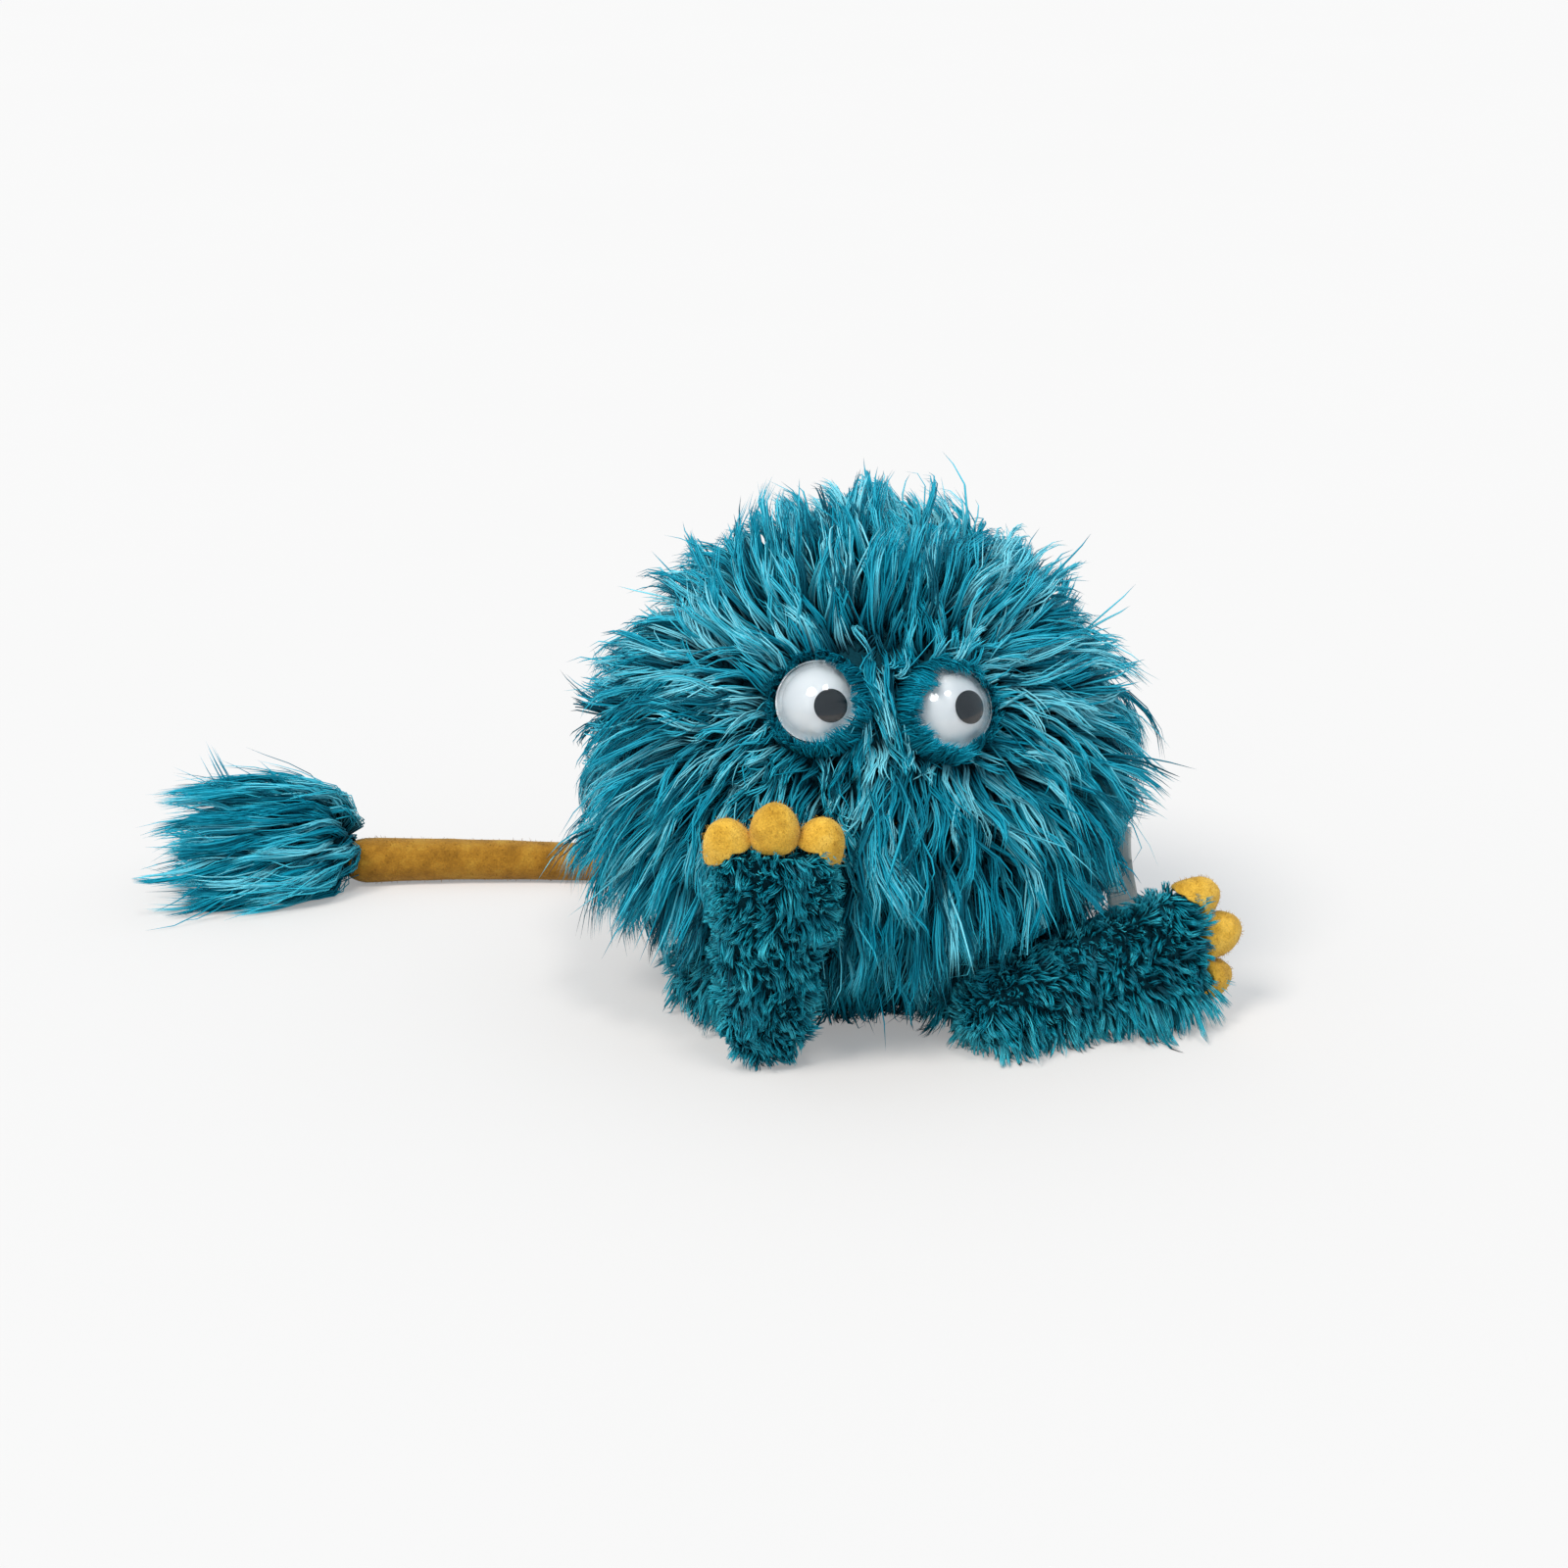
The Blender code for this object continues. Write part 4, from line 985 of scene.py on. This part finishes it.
for side in LEGS:
    for k, place in enumerate(("outer", "middle", "inner")):
        node = f"{side}_toe_{place}"
        bm = copy_of(node)
        smoothed(bm, 2, 0.00035, 160.0, 3 * k + len(side))
        along, spots = LEGS[side]["along"], points_of(bm)
        base = spots.mean(axis=0) + along * ((spots - spots.mean(axis=0)) @ along).min()
        grown = (spots - base) * 1.13
        grown -= ((spots - base) @ along * 0.02)[:, None] * along
        lay(bm, base + grown)
        toe = keep(bm, f"{side}_felt_toe_{place}", toe_felt, side + "_foot")
        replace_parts(toe, node)
        fuzz(f"{side}_toe_fuzz_{place}", toe, 420, 80 + k + len(side), fibre_ochre, side + "_foot")

# ---- Tail and tuft ----

bm = copy_of("tail_tube")
smoothed(bm, 1, 0.00028, 120.0, 11)
tail = keep(bm, "tail_felt_tube", tail_felt, "tail")
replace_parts(tail, "tail_tube")
fuzz("tail_fuzz", tail, 3000, 91, fibre_mustard, "tail")

# The tuft's solid is drawn in to a slim core, which the long hair hides.
bm = copy_of("tail_tuft")
points = points_of(bm)
middle = np.array((0.121, 0.020))
slim = points.copy()
slim[:, 1:] = middle + (points[:, 1:] - middle) * np.where(points[:, 0:1] > -0.226, 0.8, 0.5)
slim[:, 0] = np.where(points[:, 0] < -0.235, -0.235 + (points[:, 0] + 0.235) * 0.45, points[:, 0])
lay(bm, slim)
tuft_core = keep(bm, "tuft_core", pile_backing, "tuft")
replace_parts(tuft_core, "tail_tuft")


TUFT_SIDE_EASE, TUFT_SIDE, TUFT_END = 0.145, 0.157, -0.3125


def tuft_locks(count, seed):
    """Long hair that springs from the tuft's round end and is swept back along the tail's line."""
    rng = np.random.default_rng(seed)
    out = unit(rng.normal(size=(count, 3)))
    share = rng.random(count)
    centre = np.stack([mix(-0.226, -0.262, share), mix(0.126, 0.119, share), mix(0.021, 0.019, share)], axis=1)
    out[:, 0] = np.where(share < 0.25, np.abs(out[:, 0]), out[:, 0] * 0.3)
    out = unit(out)
    roots = centre + out * np.array((0.006, 0.0125, 0.0118))
    roots[:, 2] = np.maximum(roots[:, 2], 0.003)
    heads, lock = gathered(roots, 0.0050, rng)
    n = len(heads)
    start, springing = roots[heads], out[heads]
    long = np.clip(rng.normal(0.046, 0.007, n), 0.026, 0.064)
    swing, phase = rng.normal(0, 0.22, (n, 3)), rng.uniform(0, 2 * math.pi, n)
    steps = 12
    path = np.empty((n, steps + 1, 3))
    p = start.copy()
    path[:, 0] = p
    sweep = np.array((-1.0, -0.10, -0.10))
    for k in range(steps):
        s = (k + 0.5) / steps
        wave = 0.22 * np.sin(phase + s * 7.0)[:, None] * unit(np.cross(sweep, springing))
        d = unit(springing * 1.35 * (1 - s) ** 2.4 + sweep * (0.36 + 1.25 * s) + swing * (0.10 + 0.45 * s) + wave)
        p = p + d * (long / steps)[:, None]
        p[:, 2] = np.maximum(p[:, 2], 0.0012)
        path[:, k + 1] = p
    share = np.linspace(0, 1, RINGS + 1)[None, :] * np.clip(rng.normal(0.92, 0.1, count), 0.6, 1.0)[:, None]
    lines = along_lines(path[lock], share)
    gather = smooth(np.linspace(0, 1, RINGS + 1) / 0.9) * 0.92
    lines += (roots - start[lock])[:, None, :] * (1 - gather)[None, :, None]
    stray = rng.normal(0, 1, (count, 3)) * np.where(rng.random(count) < 0.08, 0.006, 0.0012)[:, None]
    lines += stray[:, None, :] * (np.linspace(0, 1, RINGS + 1) ** 1.5)[None, :, None]
    lines[..., 2] = np.maximum(lines[..., 2], 0.0010)
    lines[..., 1] = held_in(lines[..., 1], TUFT_SIDE_EASE, TUFT_SIDE)
    lines[..., 0] = np.maximum(lines[..., 0], TUFT_END)
    tone = dye(roots, lock, n, rng, 0.60, 0.17)
    return lines, tone, out


lines, tone, out = tuft_locks(6200, 7)
strands("tuft_pile", lines, np.full(len(lines), 0.0005), tone, out, long_pile, "tuft")

# A few long hairs curve up off the tuft.
WISPS = 9
rng = np.random.default_rng(5)
s = np.linspace(0, 1, RINGS + 1)[None, :, None]
starts = np.array((-0.262, 0.118, 0.036)) + rng.normal(0, 0.002, (WISPS, 3))
wisp = starts[:, None, :] + s * np.array((-0.018, 0.0, 0.024)) + s**2 * np.array((0.002, 0.0, 0.009))
wisp = wisp + rng.normal(0, 0.0012, (WISPS, 1, 3)) * s
width, tone, facing = np.full(WISPS, 0.00035), np.full(WISPS, 0.5), np.tile((0.0, -1.0, 0.0), (WISPS, 1))
strands("tuft_wisp", wisp, width, tone, facing, long_pile, "tuft")

# ---- Mouth lining and bare label ----


def half_area(node):
    """The flat area of a felt plate: half of its two broad faces."""
    bm = copy_of(node)
    wide = sum(f.calc_area() for f in bm.faces if abs(f.normal.z) > 0.7) / 2
    bm.free()
    return wide


for name, node, board in (
    ("upper_mouth_lining", "upper_mouth_felt", "upper_mouth_board"),
    ("lower_mouth_lining", "lower_mouth_felt", "lower_mouth_board"),
):
    low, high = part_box(node)
    bm = copy_of(node)
    long_edges = [e for e in bm.edges if e.calc_length() > 0.012]
    bmesh.ops.subdivide_edges(bm, edges=long_edges, cuts=3, use_grid_fill=True)
    bmesh.ops.triangulate(bm, faces=bm.faces[:])
    felt = keep(bm, name, mouth_felt, NODES[node]["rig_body"], round_faces=False)
    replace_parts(felt, node)
    half_area(node)

TAG_WIDE, TAG_THICK = 0.0138, 0.0004
bm = bmesh.new()
bmesh.ops.create_grid(bm, x_segments=8, y_segments=28, size=0.5)
tag_across = unit(np.array((0.80, -0.60, 0.0)))
tag_out = unit(np.cross(tag_across, TAG_LOW - TAG_TOP))
spots = points_of(bm)
down = 0.5 - spots[:, 1]
bow = 0.0018 * np.sin(down * math.pi) + 0.0010 * np.sin(down * 2 * math.pi) * spots[:, 0] * 2
lay(bm, TAG_TOP + (TAG_LOW - TAG_TOP) * down[:, None] + tag_across * spots[:, 0:1] * TAG_WIDE - tag_out * bow[:, None])
bmesh.ops.solidify(bm, geom=bm.faces[:], thickness=TAG_THICK)
label = keep(bm, "bare_ribbon_label", ribbon_satin, "body")
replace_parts(label, "side_label")

# ---- Finishes on the frame's own solids ----

CAD_FINISHES = {
    "body_stuffing": fibre_fill,
    "head_stuffing": fibre_fill,
    "chin_stuffing": fibre_fill,
    "left_foot_stuffing": fibre_fill,
    "right_foot_stuffing": fibre_fill,
    "tail_core": fibre_fill,
    "pellet_bag": bag_cloth,
    "hand_sleeve": lining_cloth,
    "finger_pocket": lining_cloth,
    "thumb_pocket": lining_cloth,
    "sleeve_hem": pile_backing,
    "seat_panel": pile_backing,
    "mouth_fold": mouth_felt,
    "upper_mouth_board": mouth_board,
    "lower_mouth_board": mouth_board,
    "left_lock_washer": washer_plastic,
    "right_lock_washer": washer_plastic,
}
for node, material in CAD_FINISHES.items():
    slots = NODES[node].data.materials
    if len(slots):
        for k in range(len(slots)):
            slots[k] = material
    else:
        slots.append(material)

# ---- Floor, light and camera ----

bm = bmesh.new()
bmesh.ops.create_grid(bm, x_segments=1, y_segments=1, size=6.0)
floor_paper, tree, shader = finish("pale_floor_paper", Roughness=0.9, Specular_IOR_Level=0.0)
paper = ramp(tree, grain(tree, 3.0), [(0.2, (0.702, 0.661, 0.635)), (0.8, (0.710, 0.668, 0.643))])
link(tree, paper, shader.inputs["Base Color"])
rays = tree.nodes.new("ShaderNodeLightPath")
glow = tree.nodes.new("ShaderNodeEmission")
glow.inputs["Color"].default_value = (0.945, 0.945, 0.945, 1.0)
blend_in = tree.nodes.new("ShaderNodeMixShader")
scale = tree.nodes.new("ShaderNodeMath")
scale.operation = "MULTIPLY"
scale.inputs[1].default_value = 0.30
link(tree, rays.outputs["Is Camera Ray"], scale.inputs[0])
link(tree, scale.outputs[0], blend_in.inputs[0])
link(tree, shader.outputs[0], blend_in.inputs[1])
link(tree, glow.outputs[0], blend_in.inputs[2])
link(tree, blend_in.outputs[0], tree.nodes["Material Output"].inputs["Surface"])
mesh = bpy.data.meshes.new("floor")
bm.to_mesh(mesh)
bm.free()
mesh.materials.append(floor_paper)
floor = bpy.data.objects.new("floor", mesh)
bpy.context.scene.collection.objects.link(floor)

world = bpy.data.worlds.new("studio")
bpy.context.scene.world = world
world.use_nodes = True
world.node_tree.nodes["Background"].inputs["Color"].default_value = (0.74, 0.88, 1.0, 1.0)
world.node_tree.nodes["Background"].inputs["Strength"].default_value = 0.74
tree = world.node_tree
seen = tree.nodes.new("ShaderNodeBackground")
either = tree.nodes.new("ShaderNodeMixShader")
rays = tree.nodes.new("ShaderNodeLightPath")
seen.inputs["Color"].default_value = (0.94, 0.94, 0.94, 1.0)
link(tree, rays.outputs["Is Camera Ray"], either.inputs[0])
link(tree, tree.nodes["Background"].outputs[0], either.inputs[1])
link(tree, seen.outputs[0], either.inputs[2])
link(tree, either.outputs[0], tree.nodes["World Output"].inputs["Surface"])


def soft_sun(name, toward, strength, wide, colour):
    """An even lamp over the whole floor, wide enough for soft shadows."""
    lamp = bpy.data.lights.new(name, "SUN")
    lamp.energy, lamp.angle, lamp.color = strength, math.radians(wide), colour
    piece = bpy.data.objects.new(name, lamp)
    piece.rotation_euler = Vector(toward).to_track_quat("-Z", "Y").to_euler()
    bpy.context.scene.collection.objects.link(piece)


soft_sun("key_lamp", (0.55, 0.55, -0.95), 2.15, 20.0, (1.0, 0.975, 0.93))
soft_sun("top_lamp", (-0.092, 0.43, -0.898), 0.95, 12.0, (1.0, 0.98, 0.95))

lens = bpy.data.cameras.new("camera")
lens.sensor_width = 36.0
lens.lens = 36.0 * 3250.0 / 1600.0
camera = bpy.data.objects.new("camera", lens)
aim = Vector((-0.034, 0.0, 0.088))
lift, swing = math.radians(20.0), math.radians(-4.0)
back = Vector((math.sin(swing) * math.cos(lift), -math.cos(swing) * math.cos(lift), math.sin(lift)))
camera.location = aim + back * 1.30
camera.rotation_euler = (-back).to_track_quat("-Z", "Y").to_euler()
bpy.context.scene.collection.objects.link(camera)
bpy.context.scene.camera = camera
bpy.context.scene.view_settings.view_transform = "Standard"
